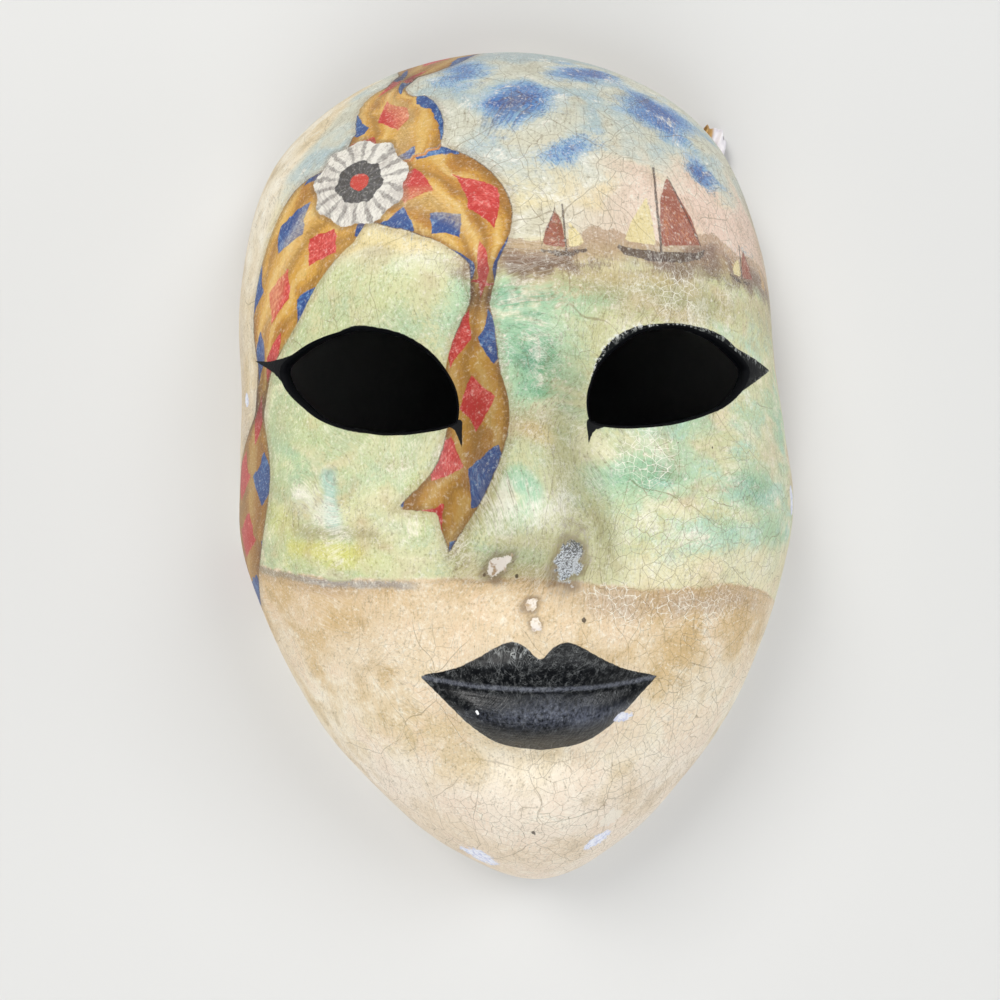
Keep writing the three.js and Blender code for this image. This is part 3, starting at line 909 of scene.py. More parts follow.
# %% A pot of paint that holds the nodes
class PaintPot:
    """One material and the nodes in it."""

    def __init__(self, name):
        self.material = bpy.data.materials.new(name)
        self.material.use_nodes = True
        self.tree = self.material.node_tree
        self.shader = self.tree.nodes["Principled BSDF"]

    def plug(self, socket, value):
        if isinstance(value, Reading):
            self.tree.links.new(value.socket, socket)
        elif hasattr(socket.default_value, "__len__") and hasattr(value, "__len__"):
            socket.default_value = (*value, 1.0)[:len(socket.default_value)]
        else:
            socket.default_value = value

    def node(self, kind, settings=None, values=(), output=0):
        made = self.tree.nodes.new(kind)
        for setting, choice in (settings or {}).items():
            setattr(made, setting, choice)
        pairs = values.items() if isinstance(values, dict) else enumerate(values)
        for key, value in pairs:
            self.plug(made.inputs[key], value)
        return Reading(self, made.outputs[output])

    def field(self, name, output="Fac"):
        return self.node("ShaderNodeAttribute", {"attribute_name": name}, output=output)

    def place(self, name):
        return self.field(name, "Vector")

    def split(self, vector):
        """The X and the Y of a place, each as a reading."""
        return [self.node("ShaderNodeSeparateXYZ", None, [vector], output) for output in "XY"]

    def scaled(self, vector, factors):
        return self.node("ShaderNodeVectorMath", {"operation": "MULTIPLY"}, [vector, factors])

    def shifted(self, vector, by):
        return self.node("ShaderNodeVectorMath", {"operation": "ADD"}, [vector, by])

    def grain(self, vector, size, detail=2.0, rough=0.55):
        """Noise from -0.5 to 0.5 whose lumps are about `size` millimetres."""
        values = {"Vector": vector, "Scale": 1 / size, "Detail": detail, "Roughness": rough}
        return self.node("ShaderNodeTexNoise", {"noise_dimensions": "2D"}, values) - 0.5

    def cracks(self, vector, size, width):
        """1 on the lines of a net with meshes of about `size`, lines `width` wide."""
        settings = {"voronoi_dimensions": "2D", "feature": "DISTANCE_TO_EDGE"}
        away = self.node("ShaderNodeTexVoronoi", settings, {"Vector": vector, "Scale": 1 / size})
        return (away * size).rise(width, width * 0.25)

    def stroke(self, x, y, start, end, half_width, taper=0.0):
        """Above 0 within half_width of the straight line, which can thin to a point."""
        (ax, ay), (bx, by) = start, end
        length = (bx - ax) ** 2 + (by - ay) ** 2
        t = ((x - ax) * ((bx - ax) / length) + (y - ay) * ((by - ay) / length)).most(0.0).least(1.0)
        dx, dy = x - ax - t * (bx - ax), y - ay - t * (by - ay)
        far = (dx * dx + dy * dy).root()
        return half_width - far - t * taper if taper else half_width - far

    def over(self, under, colour, mask):
        """A colour laid over another through a mask; plain colours are from a paint chart."""
        under, colour = (tint(c) if isinstance(c, tuple) else c for c in (under, colour))
        values = {"Factor": mask, 6: under, 7: colour}
        return self.node("ShaderNodeMix", {"data_type": "RGBA"}, values, output=2)

    def complete(self, colour, roughness, **settings):
        """Plugs in the colour and the roughness, and sets what is the same all over."""
        self.plug(self.shader.inputs["Base Color"], colour)
        self.plug(self.shader.inputs["Roughness"], roughness)
        for name, value in settings.items():
            self.plug(self.shader.inputs[name.replace("_", " ")], value)

    def roughen(self, height, strength):
        """Small unevenness that only the light shows."""
        values = {"Strength": strength, "Distance": 0.001, "Height": height}
        self.plug(self.shader.inputs["Normal"], self.node("ShaderNodeBump", None, values))

    def lay(self, colour, mask):
        """Lays a colour over the coat that is there so far."""
        self.coat = self.over(self.coat, colour, mask)


def tint(chart):
    """A colour as a paint chart gives it, 0 to 255, turned into Blender's light values."""
    return tuple(((v / 255 + 0.055) / 1.055) ** 2.4 if v > 10 else v / 3294.6 for v in chart)


print("cream:", [round(v, 3) for v in tint((236, 226, 205))])

# %% [markdown]
# ## The painted and varnished face
#
# On the real mask the ground is warm ivory gesso. Thin washes of blue, green and tan
# are scrubbed over it with a stiff brush, so every wash breaks up at its edge. The
# masks below are soft sums from the plan, roughened by noise at several sizes: large
# for the wash's own edge, small for the drag of the bristles.

# %% Grain of the brushwork
face = PaintPot("painted_gesso")
field, stroke, over, lay = face.field, face.stroke, face.over, face.lay
flat, combed, crazed = (face.place(name) for name in ("pattern", "combed", "crazed"))
x, y = face.split(face.place("spot"))
broad, patches, dabs = field("broad"), field("patches"), field("dabs")
breaks, touches, touches_b = field("breaks"), field("touches"), field("touches_b")


def blotch(vector, size, seed, detail=1.0, rough=0.6):
    """Noise from about -1 to 1, moved along so that no two look alike."""
    moved = face.shifted(vector, (seed * 37.1, seed * 53.7, 0))
    return face.grain(moved, size, detail, rough) * 3.0


def bristles(angle, seed, wide=0.42, long=4.5):
    """Marks of a stiff brush drawn at an angle."""
    turned = face.node("ShaderNodeVectorRotate", {"rotation_type": "Z_AXIS"},
                       {"Vector": combed, "Angle": math.radians(angle)})
    return blotch(face.scaled(turned, (1 / wide, 1 / long, 1)), 1.0, seed)


mottle, fine = blotch(flat, 1.4, 4, 1.5), blotch(flat, 0.62, 5, 2.0, 0.7)
strokes = [bristles(angle, 6 + n) for n, angle in enumerate((38, -30, 86, 4))]
drag = (strokes[0] + strokes[1] + strokes[2] + strokes[3]) * 0.5
fibres = [bristles(angle, 20 + n, 0.6, 3.6).size().rise(0.12, 0.03)
          for n, angle in enumerate((24, -42, 70))]
hairs = fibres[0].most(fibres[1]).most(fibres[2])
ragged = patches * 2.0 + dabs * 1.1 + mottle * 0.5 + drag * 0.7
print("brushwork:", len(face.tree.nodes), "nodes")

# %% Ground, tan and the shore between tan and water
ivory = (broad + patches * 0.6 + dabs * 0.3).rise(-0.7, 0.7)
face.coat = over((222, 203, 164), (242, 233, 212), ivory)
rim_far = field("from_rim") + ragged * 0.7
lay((204, 176, 132), rim_far.rise(13, 1) * y.rise(-60, 20) * 0.65)

inner = rim_far - x.rise(-34, -56) * y.rise(-20, 20) * 15 - x.rise(-14, -40) * y.rise(70, 90) * 5
inner = inner.rise(3, 9)
shore_far = field("shore")
lower = (dabs * 0.5 + mottle * 0.3 + drag * 0.2 - shore_far).rise(-0.7, 0.7)
tan_wash = (ragged * 2.4 + broad * 6 - y).rise(78, 28)
lay((208, 172, 116), lower * tan_wash * 0.74)
lay((226, 194, 156), lower * (patches + dabs * 0.4).rise(0.1, 0.9) * 0.45)
lay((226, 208, 194), lower * (ragged * 2 - y).rise(64, 84) * 0.5)
right_band = (shore_far + 3.7 + ragged * 0.5).size().rise(5.0, 0.8) * (x + ragged).rise(0, 24)
lay((176, 152, 130), right_band * x.rise(68, 50) * inner * (0.58 + dabs * 0.25))
left_band = (shore_far + 2.0 + ragged * 0.5).size().rise(3.5, 0.5) * (x + ragged).rise(-20, -50)
lay((172, 142, 108), left_band * inner * 0.55)
shore_line = (shore_far + 0.8 + dabs * 0.5 + mottle * 0.4).size().rise(0.9, 0.1)
lay((146, 120, 92), shore_line * inner * (patches + 0.5).rise(0, 1) * 0.5)
grey_line = (shore_far + 1.3 + dabs * 0.4 + mottle * 0.3).size().rise(1.5, 0.4) * x.rise(-22, -28)
grey = over((150, 148, 148), (138, 128, 108), x.rise(-48, -60))
lay(grey, grey_line * inner * (drag + 1.2).rise(0, 1) * 0.75)
print("ground and shore:", len(face.tree.nodes), "nodes")

# %% Sky and clouds
sky = (y - 44 + ragged * 0.7).rise(-3, 3)
lay((216, 214, 192), sky * inner * 0.85)
lay((240, 206, 190), sky * inner * (y + ragged * 3).rise(74, 54) * x.rise(0, 40) * 0.75)
warm = (broad * 0.6 + patches - x * 0.012 + 0.3).rise(-0.2, 0.8)
lay((238, 216, 142), sky * inner * (y + ragged * 3).rise(72, 50) * warm * 0.7)
cool = (patches + broad * 0.6 + dabs * 0.4).rise(-0.4, 0.5)
lay((170, 190, 192), sky * inner * (y + ragged * 3).rise(60, 80) * (cool * 0.7 + 0.25))
lay((150, 160, 164), (y + ragged * 2).rise(92, 116) * inner * 0.6)
cloud = field("cloud") + patches * 0.2 + touches * 0.2 + mottle * 0.1 + drag * 0.16
cloud = cloud - rim_far.rise(14, 4) * 0.9
lay((130, 174, 208), sky * cloud.rise(0.2, 0.6) * 0.85)
lay((76, 126, 188), sky * (cloud + drag * 0.12).rise(0.45, 0.8) * 0.88)
lay((48, 84, 156), sky * (cloud + touches_b * 0.14 + drag * 0.12).rise(0.75, 1.1) * 0.85)
lay((244, 240, 226), sky * (dabs + mottle * 0.6 + drag * 0.8).rise(0.6, 1.4) * 0.55)
print("with the sky:", len(face.tree.nodes), "nodes")

# %% Water and loose dabs of colour
water = (1 - sky) * (1 - lower) * inner
lay((206, 208, 160), water * (patches + dabs * 0.6 + 0.6).rise(-1.6, 0.3) * 0.92)
sage = patches * 0.7 + dabs * 0.5 + mottle * 0.35 + drag * 0.5 - x * 0.02 + 0.1
lay((168, 188, 146), water * sage.rise(0.2, 1.2) * 0.85)
green = field("green") + patches * 0.2 + touches * 0.25 + mottle * 0.12 + drag * 0.14
lay((176, 208, 170), water * green.rise(0.05, 0.65) * 0.85)
lay((134, 186, 148), water * (green + dabs * 0.15).rise(0.5, 1.15) * 0.8)
lay((96, 152, 122), water * (green + touches_b * 0.3 + drag * 0.25).rise(0.85, 1.45) * 0.8)
mint = (touches_b + mottle * 0.4 + drag * 0.4).rise(-0.2, 1.0)
lay((174, 216, 200), water * mint * x.rise(12, 34) * 0.6)
lay((232, 226, 190), water * (mottle * 0.5 + drag * 0.5 - touches).rise(-0.1, 1.0) * 0.7)
olive = (dabs * 0.6 + drag * 0.6 + mottle * 0.3 - touches_b * 0.4).rise(-0.6, 0.9)
lay((204, 212, 142), water * olive * x.rise(-16, -34) * 0.62)
lay((232, 222, 184), water * (y + ragged * 0.8).rise(-22, -27) * x.rise(14, 26) * 0.7)
LOOSE_DABS = [((-44.6, -4.0), (-43.6, -15.0), 2.4, (146, 204, 204)),
              ((-54.0, -16.4), (-34.0, -17.6), 1.9, (158, 148, 108)),
              ((-55.0, -20.4), (-38.0, -21.2), 2.2, (214, 206, 96)),
              ((-2.4, -6.0), (1.0, -9.4), 2.6, (146, 202, 168)),
              ((1.0, 3.4), (4.6, 1.6), 2.2, (226, 202, 140)),
              ((6.0, 22.0), (4.0, 12.0), 2.4, (112, 172, 132))]
for start, end, wide_by, hue in LOOSE_DABS:
    dab = stroke(x, y, start, end, wide_by) + drag * 0.5 + dabs * 0.5
    lay(hue, water * dab.rise(-0.8, 1.6) * 0.6)
yellow = field("yellow") + patches * 0.3 + dabs * 0.15 + drag * 0.15
lay((214, 212, 118), water * yellow.rise(0.4, 1.0) * 0.7)
pink = (mottle * 0.4 + drag * 0.3 - patches - touches_b * 0.4).rise(0.2, 1.1) * x.rise(10, 40)
lay((232, 208, 182), water * pink * 0.35)
print("with the water:", len(face.tree.nodes), "nodes")

# %% Brown glazes, painted shade on flanks and in creases, pale scumbles with a painted highlight, and dry brush
# Brown glaze, and painted shade in the creases under the nose, under the lower lip and beside the nose.
umber = field("umber_glaze_and_crease_shade") + patches * 0.22 + dabs * 0.16 + drag * 0.16 + mottle * 0.08
lay((172, 142, 94), umber.rise(0.3, 1.0) * 0.6)
# Painted shade: darker olive on the steep flanks, weaker right of the nose.
flank_shade = field("flank_shade") + drag * 0.16 + dabs * 0.12 + mottle * 0.1
lay((166, 158, 100), flank_shade.rise(0.35, 1.5) * (0.5 - x.rise(4, 12) * 0.22))
# Pale cream scumbles, with a painted highlight on the nose tip.
pale = field("pale") + patches * 0.2 + dabs * 0.2 + drag * 0.3
lay((240, 238, 222), pale.rise(0.35, 1.0) * 0.65)
lay((150, 130, 92), (drag * 0.5 - dabs - patches * 0.4).rise(0.1, 1.3) * 0.26)
lay((252, 248, 232), (drag * 0.4 + dabs + mottle * 0.4).rise(0.2, 1.4) * 0.34)
print("with the glazes:", len(face.tree.nodes), "nodes")

# %% Hills and boats
hill = field("hill") + dabs * 0.5 + mottle * 0.4 + drag * 0.4
hill_fade = (y - 39 + ragged * 0.8).rise(-2.0, 3.5) * (x + ragged).rise(-20, -6) * rim_far.rise(0, 5)
lay((176, 144, 114), hill.rise(-0.15, 0.3) * hill_fade * 0.75)
lay((118, 90, 80), hill.rise(1.6, 4.4) * hill_fade * (patches + dabs * 0.5).rise(-0.5, 0.4) * 0.75)
sunlit = (dabs + drag * 0.5).rise(0.35, 0.9) * x.rise(30, 60)
lay((214, 168, 88), hill.rise(0.2, 1.0) * hill_fade * sunlit * 0.7)
strand = (y - 41.0 + (x - 16).size() * 0.03 + ragged * 0.35).size().rise(3.4, 0.6)
strand = strand * (x + ragged).rise(-16, 2)
lay((108, 88, 72), strand * (dabs + drag * 0.6 + 0.4).rise(-0.2, 0.8) * 0.6)
brush_edge = mottle * 0.16 + fine * 0.1
lay((228, 212, 158), (field("canvas") + brush_edge).rise(-0.12, 0.18))
rust = field("rust") + brush_edge
lay((150, 74, 56), rust.rise(-0.12, 0.18) * 0.92)
lay((204, 128, 88), rust.rise(0.3, 1.4) * (drag + dabs * 0.5).rise(-0.2, 0.7) * 0.75)
dark_lines = field("umber")
MAST = [(-0.02, 0.0), (0.03, 2.08)]
SAIL_EDGE = [(0.95, 0.27), (0.34, 1.9)]
for at_x, at_y, size, mirror in BOATS:
    for ends, wide_by in ((MAST, 0.022 * size + 0.1), (SAIL_EDGE, 0.012 * size + 0.05)):
        foot, tip = ((at_x + across * size * mirror, at_y + up * size) for across, up in ends)
        dark_lines = dark_lines.most(stroke(x, y, foot, tip, wide_by))
lay((70, 54, 50), (dark_lines + brush_edge).rise(-0.1, 0.14) * 0.85)

# %% Streamer: ochre cloth, diamonds and folds
run, side, turn = field("cloth_run"), field("cloth_side"), field("cloth_turn")
edge = field("cloth") + mottle * 0.14 + fine * 0.06
cloth = edge.rise(-0.12, 0.16)
ochre = over((210, 160, 72), (182, 126, 48), (drag * 0.8 + patches + dabs * 0.5).rise(-0.7, 0.8))
pleat = (side * 0.8 + patches * 1.6 + dabs * 0.6 + run * 0.05).wave() + drag * 0.5
ochre = over(ochre, (232, 196, 118), pleat.rise(0.2, 1.2) * 0.7)
CELL_WIDE, CELL_LONG, DIAMOND_WIDE, DIAMOND_LONG = 11.0, 15.0, 4.5, 6.6
column = side / CELL_WIDE + (run / CELL_LONG).whole() * 0.5
row = run / CELL_LONG + dabs * 0.03
across_cell = (column.part() - 0.5).size() * (CELL_WIDE / DIAMOND_WIDE)
along_cell = (row.part() - 0.5).size() * (CELL_LONG / DIAMOND_LONG)
diamond = 1 - across_cell - along_cell + dabs * 0.1 + patches * 0.1 + mottle * 0.05 + fine * 0.02
pick = (column.whole() * 0.5 + row.whole() * 0.25).part()
ochre = over(ochre, (116, 78, 38), pleat.rise(-0.3, -1.3) * 0.5)
ochre = over(ochre, (130, 90, 42), turn.rise(0.1, -0.25) * 0.3)
ochre = over(ochre, (110, 74, 36), (edge + drag * 0.5).rise(2.2, 0.1) * 0.35)
streaks = drag + dabs * 0.6 + mottle * 0.3
rouge = over((196, 50, 54), (228, 94, 92), streaks.rise(-0.3, 0.9))
azure = over((18, 74, 142), (64, 124, 184), streaks.rise(-0.2, 1.0))
ochre = over(ochre, over(rouge, azure, pick.rise(0.3, 0.45)), diamond.rise(-0.02, 0.06) * 0.95)
shade = turn.size().rise(0.62, 0.12) * 0.5 + turn.rise(0.1, -0.25) * 0.2
ochre = over(ochre, (54, 38, 30), shade + (edge + drag * 0.5).rise(1.6, 0.1) * 0.15)
sheen_line = (side / 10 + turn * 0.3 + patches * 0.15).size().rise(0.42, 0.05) * turn.rise(0.2, 0.9)
ochre = over(ochre, (240, 212, 150), sheen_line * (0.3 + drag * 0.2))
lay((150, 124, 92), (field("cloth") + 1.2 + ragged * 0.2).rise(-1.0, 0.6) * 0.35)
lay(ochre, cloth)
outline = (edge.size() + fine * 0.1).rise(0.26, 0.05) * (patches + dabs * 0.8).rise(-0.5, 0.5)
lay((84, 60, 40), outline * 0.7)

# %% Cockade
rx, ry = x - COCKADE_X, y - COCKADE_Y
away = (rx * rx + ry * ry).root()
bearing = rx.sum_of("ARCTAN2", ry, rx)
ruffle = away - COCKADE_SIZE - (bearing * 9).wave() * 0.55 + mottle * 0.3 + dabs * 0.25
lay((110, 88, 62), (ruffle - 0.5).rise(1.2, -0.2) * 0.5)
lay(over((232, 228, 218), (204, 198, 190), (drag + dabs).rise(-0.4, 0.8)), ruffle.rise(0.15, -0.15))
rays = (bearing * 18 + dabs * 1.4 + mottle * 0.8).wave().rise(0.0, 0.9)
rays = rays * away.rise(COCKADE_SIZE * 0.3, COCKADE_SIZE * 0.7)
lay((128, 122, 118), ruffle.rise(0.1, -0.1) * rays * (0.7 + drag * 0.3))
core = away - COCKADE_SIZE * 0.5 + (bearing * 7).wave() * 0.3 + mottle * 0.35
lay((40, 38, 42), core.rise(0.15, -0.15) * 0.92)
lay((112, 110, 112), core.rise(0.1, -0.1) * (bearing * 14 + mottle).wave().rise(0.3, 1.0) * 0.5)
lay((198, 66, 54), (away - COCKADE_SIZE * 0.2 + mottle * 0.25).rise(0.15, -0.15))
print("with the picture:", len(face.tree.nodes), "nodes")

# %% [markdown]
# ## Age: brush drag, dirt, cracks and chips
#
# Old varnish yellows a little, holds dust in the brush marks and crazes into a net. Fine white flecks
# and fibre marks are partly painted glints of light on the raised brushwork.
# Where the paint is pale the cracks fill with brown dirt; over dark or thick paint they
# open to the white gesso. Chips have lost the paint altogether and sit a third of a
# millimetre lower, which the mesh already carries.

# %% Dust, fibres with painted glints, and cracks
furry = (field("pale") + field("flank_shade") * 0.5 + field("umber_glaze_and_crease_shade") * 0.4).rise(0.2, 0.9)
swept = (dabs * 0.5 + patches * 0.3).rise(-0.6, 0.6)
dusty = (strokes[3] + strokes[0] * 0.6 + mottle * 0.3).rise(0.1, 0.9) * (furry * 0.2 + 0.2)
lay((112, 92, 56), dusty * (1 - cloth * 0.6))
# White fibre marks, partly painted glints of light on raised brush fibres.
lay((251, 248, 236), hairs * swept * (furry * 0.3 + 0.24) * (1 - cloth * 0.85))
# Fine white flecks: painted glints of light on the crazed varnish.
lay((253, 250, 238), (fine * 0.9 + mottle * 0.5 + drag * 0.3).rise(0.0, 1.2) * (0.54 - cloth * 0.26))
lay((104, 86, 54), (drag * 0.3 - fine * 0.9 - mottle * 0.5).rise(0.1, 1.3) * (0.5 - cloth * 0.25))

net = face.cracks(crazed, 3.2, 0.10)
small_net = face.cracks(face.scaled(face.shifted(crazed, (5, 2, 0)), (0.85, 1.15, 1)), 1.7, 0.09)
long_net = face.cracks(face.scaled(face.shifted(crazed, (40, 9, 0)), (1.3, 0.8, 1)), 19.0, 0.15)
unpainted = 1 - cloth * 0.75
dark_where = field("dark_cracks")
dark = net * (dark_where + breaks * 0.35).rise(0.1, 0.8)
dark = dark.most(small_net * (dark_where + breaks * 0.5 - 0.45).rise(0.2, 0.7) * 0.5)
dark = dark.most(long_net * (dark_where + breaks * 0.4 + 0.1).rise(0.1, 0.6) * 0.9) * unpainted
lay((122, 102, 70), dark * (0.52 + mottle * 0.2))
pale_net = small_net * (mottle + dabs * 0.6 + y.rise(-30, -26) * 0.5 + 0.6).rise(0.0, 0.9)
pale_net = pale_net * (field("pale_cracks") + breaks * 0.2 + dabs * 0.15).rise(0.4, 0.8)
lay((246, 243, 230), pale_net * unpainted * (0.8 + mottle * 0.3))
lay((52, 38, 30), (field("fleck") + mottle * 0.15).rise(-0.02, 0.12) * 0.85)

# %% Ink of the lips and eye lines, with painted sheen and shade on the lips
lip_far, line_far = field("lips"), field("liner")
lips = (lip_far + mottle * 0.12).rise(-0.1, 0.1)
for root, tip in [((-14.5, 6.4), (-13.6, 0.9)), ((15.5, 5.6), (14.4, 0.6)),
                  ((-60.0, 23.6), (-66.6, 26.6))]:
    line_far = line_far.most(stroke(x, y, root, tip, 1.15, 1.15))
liner = (line_far + mottle * 0.1 + fine * 0.06).rise(-0.08, 0.1)
black = lips.most(liner)
ink = over((10, 12, 15), (38, 42, 48), (drag * 0.5 + fine * 0.6).rise(0.1, 1.4) * lips)
# Painted shade: the underside of the lower lip is darker.
ink = over(ink, (2, 3, 4), (y + 60).rise(1, -5) * lips * 0.9)
# Painted reflection: a soft blue-grey sheen across the middle of the lower lip.
lower_lip_sheen = (1.0 - (y + 58.0 + ragged * 0.4).size() * 0.17 - (x - 4.0).size() * 0.03).rise(0, 1)
lower_lip_sheen = lower_lip_sheen * (fine * 0.7 + drag * 0.3 + mottle * 0.15 + patches * 0.3 + 0.35).rise(-0.5, 1.1)
ink = over(ink, (104, 109, 124), lower_lip_sheen * lips * 0.8)
from_middle = x - MOUTH_X
# Painted highlight: a thin blue-grey line of light along the ridge of the lip seam.
seam_far = y + x * LIP_TILT - MOUTH_Y - from_middle * from_middle * 0.0017 + mottle * 0.1
seam_line = seam_far.size().rise(0.9, 0.1) * (fine * 0.6 + drag * 0.6 + 0.5).rise(-0.4, 0.9)
ink = over(ink, (124, 128, 140), seam_line * lips * 0.6)
peak = ((x + 4.0) * (x + 4.0) * 0.25 + (y + 44.0) * (y + 44.0)).root()
peak = (peak + dabs).rise(4.0, 0.5)
worn = small_net * ((lip_far + dabs * 0.8).rise(2.0, 0.2) * 0.4 + peak * 0.8)
worn = worn * (mottle * 0.6 + breaks * 0.5).rise(-0.6, 0.8)
scuffed = (peak * 0.8 + y.rise(-55, -51) * 0.12 + 0.16) * (mottle + drag * 0.5).rise(-0.7, 0.9)
worn = worn + hairs * scuffed
worn = worn + fine.rise(0.55, 1.0) * (0.4 + peak * 0.4 + (lip_far + dabs).rise(1.6, 0.2) * 0.5)
ink = over(ink, (206, 210, 210), worn * lips * 0.55)
rims = x.rise(4, 18) * (y - x * 0.12).rise(8, 16)
frost = (line_far + dabs * 0.25).rise(2.0, 0.0) * liner * (1 - lips)
frost = frost * (fine * 0.8 + mottle * 0.8 + drag * 0.6).rise(-0.1, 1.0)
ink = over(ink, (200, 204, 200), frost * rims.most(x.rise(56, 62) * 0.7) * 0.7)
speck = stroke(x, y, (-12.3, -56.7), (-12.1, -57.1), 0.3).rise(-0.05, 0.05)
lay(over(ink, (240, 242, 244), speck), black)
frost = (line_far + dabs * 0.3 + mottle * 0.2).size().rise(0.9, 0.1) * (1 - lips)
frost = frost * (fine + mottle * 0.6).rise(-0.1, 0.6)
lay((232, 234, 230), frost * x.rise(10, 15) * x.rise(42, 32) * y.rise(12, 18) * 0.75)

# %% Chips
chip_field = field("chip") + mottle * 0.25 + fine * 0.2 + dabs * 0.1
chip = chip_field.rise(-0.06, 0.16)
by_nose = y.rise(-42, -38) * x.size().rise(16, 12)
halo = (chip_field + dabs * 0.3).rise(-1.0, 0.0) * (1 - chip) * by_nose
lay((118, 98, 78), halo * 0.62)
bare = over((236, 238, 246), (196, 200, 224), (mottle + fine).rise(-0.4, 0.9))
bare = over(bare, (238, 232, 218), y.rise(-94, -91) * y.rise(-84, -88))
dirty = (mottle + dabs * 0.6 + fine * 0.4).rise(0.1, 0.8)
bare = over(bare, over((243, 236, 228), (184, 158, 128), dirty), by_nose)
nostril = x.rise(3, 6) * x.rise(14, 11) * y.rise(-32, -30) * y.rise(-18, -20)
silver = over((214, 220, 226), (140, 138, 134), (dabs * 0.6 + y * 0.2 + 4.4).rise(-0.3, 0.9))
bare = over(bare, silver, nostril)
pepper = (y + 23).rise(-2, 5) * 0.35 - (face.grain(flat, 0.6, 1.0) * 3.0).size() + drag * 0.15 + 0.3
bare = over(bare, (58, 58, 56), pepper.rise(0.0, 0.3) * nostril * 0.8)
faint = (y + 36.4).size().rise(6, 4) * x.size().rise(6, 4) * (0.15 + (mottle + drag).rise(0, 1) * 0.5)
faint = faint + (y + 89.6).size().rise(4, 2.5) * 0.35
lay(bare, chip * (1 - faint))

# %% Varnish: gloss and the feel of the surface
gloss = 0.46 + drag * 0.05 + mottle * 0.05 + chip * 0.3 + dark * 0.2
gloss = gloss - lips * y.rise(-50, -54) * 0.13 + liner * 0.25
face.complete(face.coat, gloss.most(0.2).least(0.9), IOR=1.46, Specular_IOR_Level=0.36)
face.roughen((strokes[0] + strokes[2]) * 0.03 + mottle * 0.03 + dabs * 0.03, 0.7)
print("face paint:", len(face.tree.nodes), "nodes")

# %% Black inside and edges
# The cut edges of the eye holes are black paint; the inside is near-black as painted shade, so the
# hollow seen through the holes stays dark.
hollow = PaintPot("black_inside")
where = hollow.place("pattern")
felt = hollow.grain(where, 1.4, detail=4, rough=0.7)
layers = hollow.grain(where, 12.0, detail=3)
black_paper = hollow.over((8, 9, 12), (24, 24, 28), (felt + layers).rise(0, 0.8))
hollow.complete(black_paper, 0.75 + felt * 0.2, Specular_IOR_Level=0.1)
hollow.roughen(felt * 0.3 + layers * 0.4, 0.6)

rim_paint = PaintPot("rim_gesso")
felt = rim_paint.grain(rim_paint.place("spot"), 1.2, detail=4, rough=0.7)
worn_gesso = rim_paint.over((226, 212, 182), (150, 126, 92), (felt * 1.6 + 0.3).rise(0, 1))
rim_paint.complete(worn_gesso, 0.6 + felt * 0.2)
print("black inside and gesso rim mixed")

for pot in (face, hollow, rim_paint):
    shell.data.materials.append(pot.material)
SLOT_OF = {OUTSIDE: 0, EYE_EDGE: 1, RIM: 2, INSIDE: 1}
shell.data.polygons.foreach_set("material_index", [SLOT_OF[k] for k in kinds])
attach(shell, "root")
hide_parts("mask_shell")

# %% [markdown]
# ## The hanging ribbon
#
# A satin ribbon ties the mask to a nail. Off the wall its slack lies in the hollow,
# just inside the rim, and one fold of it slips out under the raised bit of rim at the
# upper right. The band is swept along the CAD's own way, thinner and softly crumpled.

# %% The ribbon's way along the inside of the rim
# Angle from the crown, distance inside the rim, height, and lean of the band in degrees.
RIBBON_STATIONS = np.array([
    (-64, 5.6, 7.0, 0), (-56, 5.8, 7.0, 0), (-47, 8.5, 6.4, 0), (-34, 15, 5.6, 0),
    (-18, 22, 5.4, 0), (-4, 19, 5.4, 0), (9, 24, 5.4, 0), (20.6, 29, 5.4, 0),
    (27.1, 26, 5.3, 4), (29.6, 19, 4.7, 35), (30.3, 11, 2.5, 78), (30.5, 4, 1.5, 90),
    (30.7, -2.5, 1.4, 90), (30.9, -6, 2.0, 90), (31.1, -6.9, 3.3, 90), (31.5, -5.4, 4.5, 90),
    (31.9, -1.5, 4.5, 90), (32.3, 4, 4.0, 90), (32.9, 11, 4.4, 110), (34.3, 18, 5.2, 150),
    (38.1, 21, 5.4, 178), (43.6, 15.5, 5.6, 180), (50, 8.5, 6.4, 180), (57, 5.8, 7.0, 180),
    (64, 5.6, 7.0, 180)])
RIBBON_WIDTH, RIBBON_THICKNESS, ACROSS, ALONG = 9.5, 0.3, 21, 18

bearings, inset, lift, lean = RIBBON_STATIONS.T
bearings = np.radians(bearings)
far = outline_radius(bearings) - inset
middle = curve_through(np.column_stack([*from_centre(bearings, far), lift]), ALONG)
station = np.arange(len(middle)) / ALONG
lean = np.radians(np.interp(station, np.arange(len(inset)), lean))
ahead = unit(np.gradient(middle, axis=0))
notch = NOTCH_ANGLE + RIM_TURN
sideways = np.array([math.cos(notch), -math.sin(notch), 0.0])
wide = np.outer(np.cos(lean), (0, 0, 1)) + np.outer(np.sin(lean), sideways)
wide = unit(wide - np.sum(wide * ahead, axis=1)[:, None] * ahead)
thick = np.cross(ahead, wide)
ribbon_run = run_along(middle)
RIBBON_LENGTH = float(ribbon_run[-1])
print("ribbon", round(RIBBON_LENGTH), "mm long")

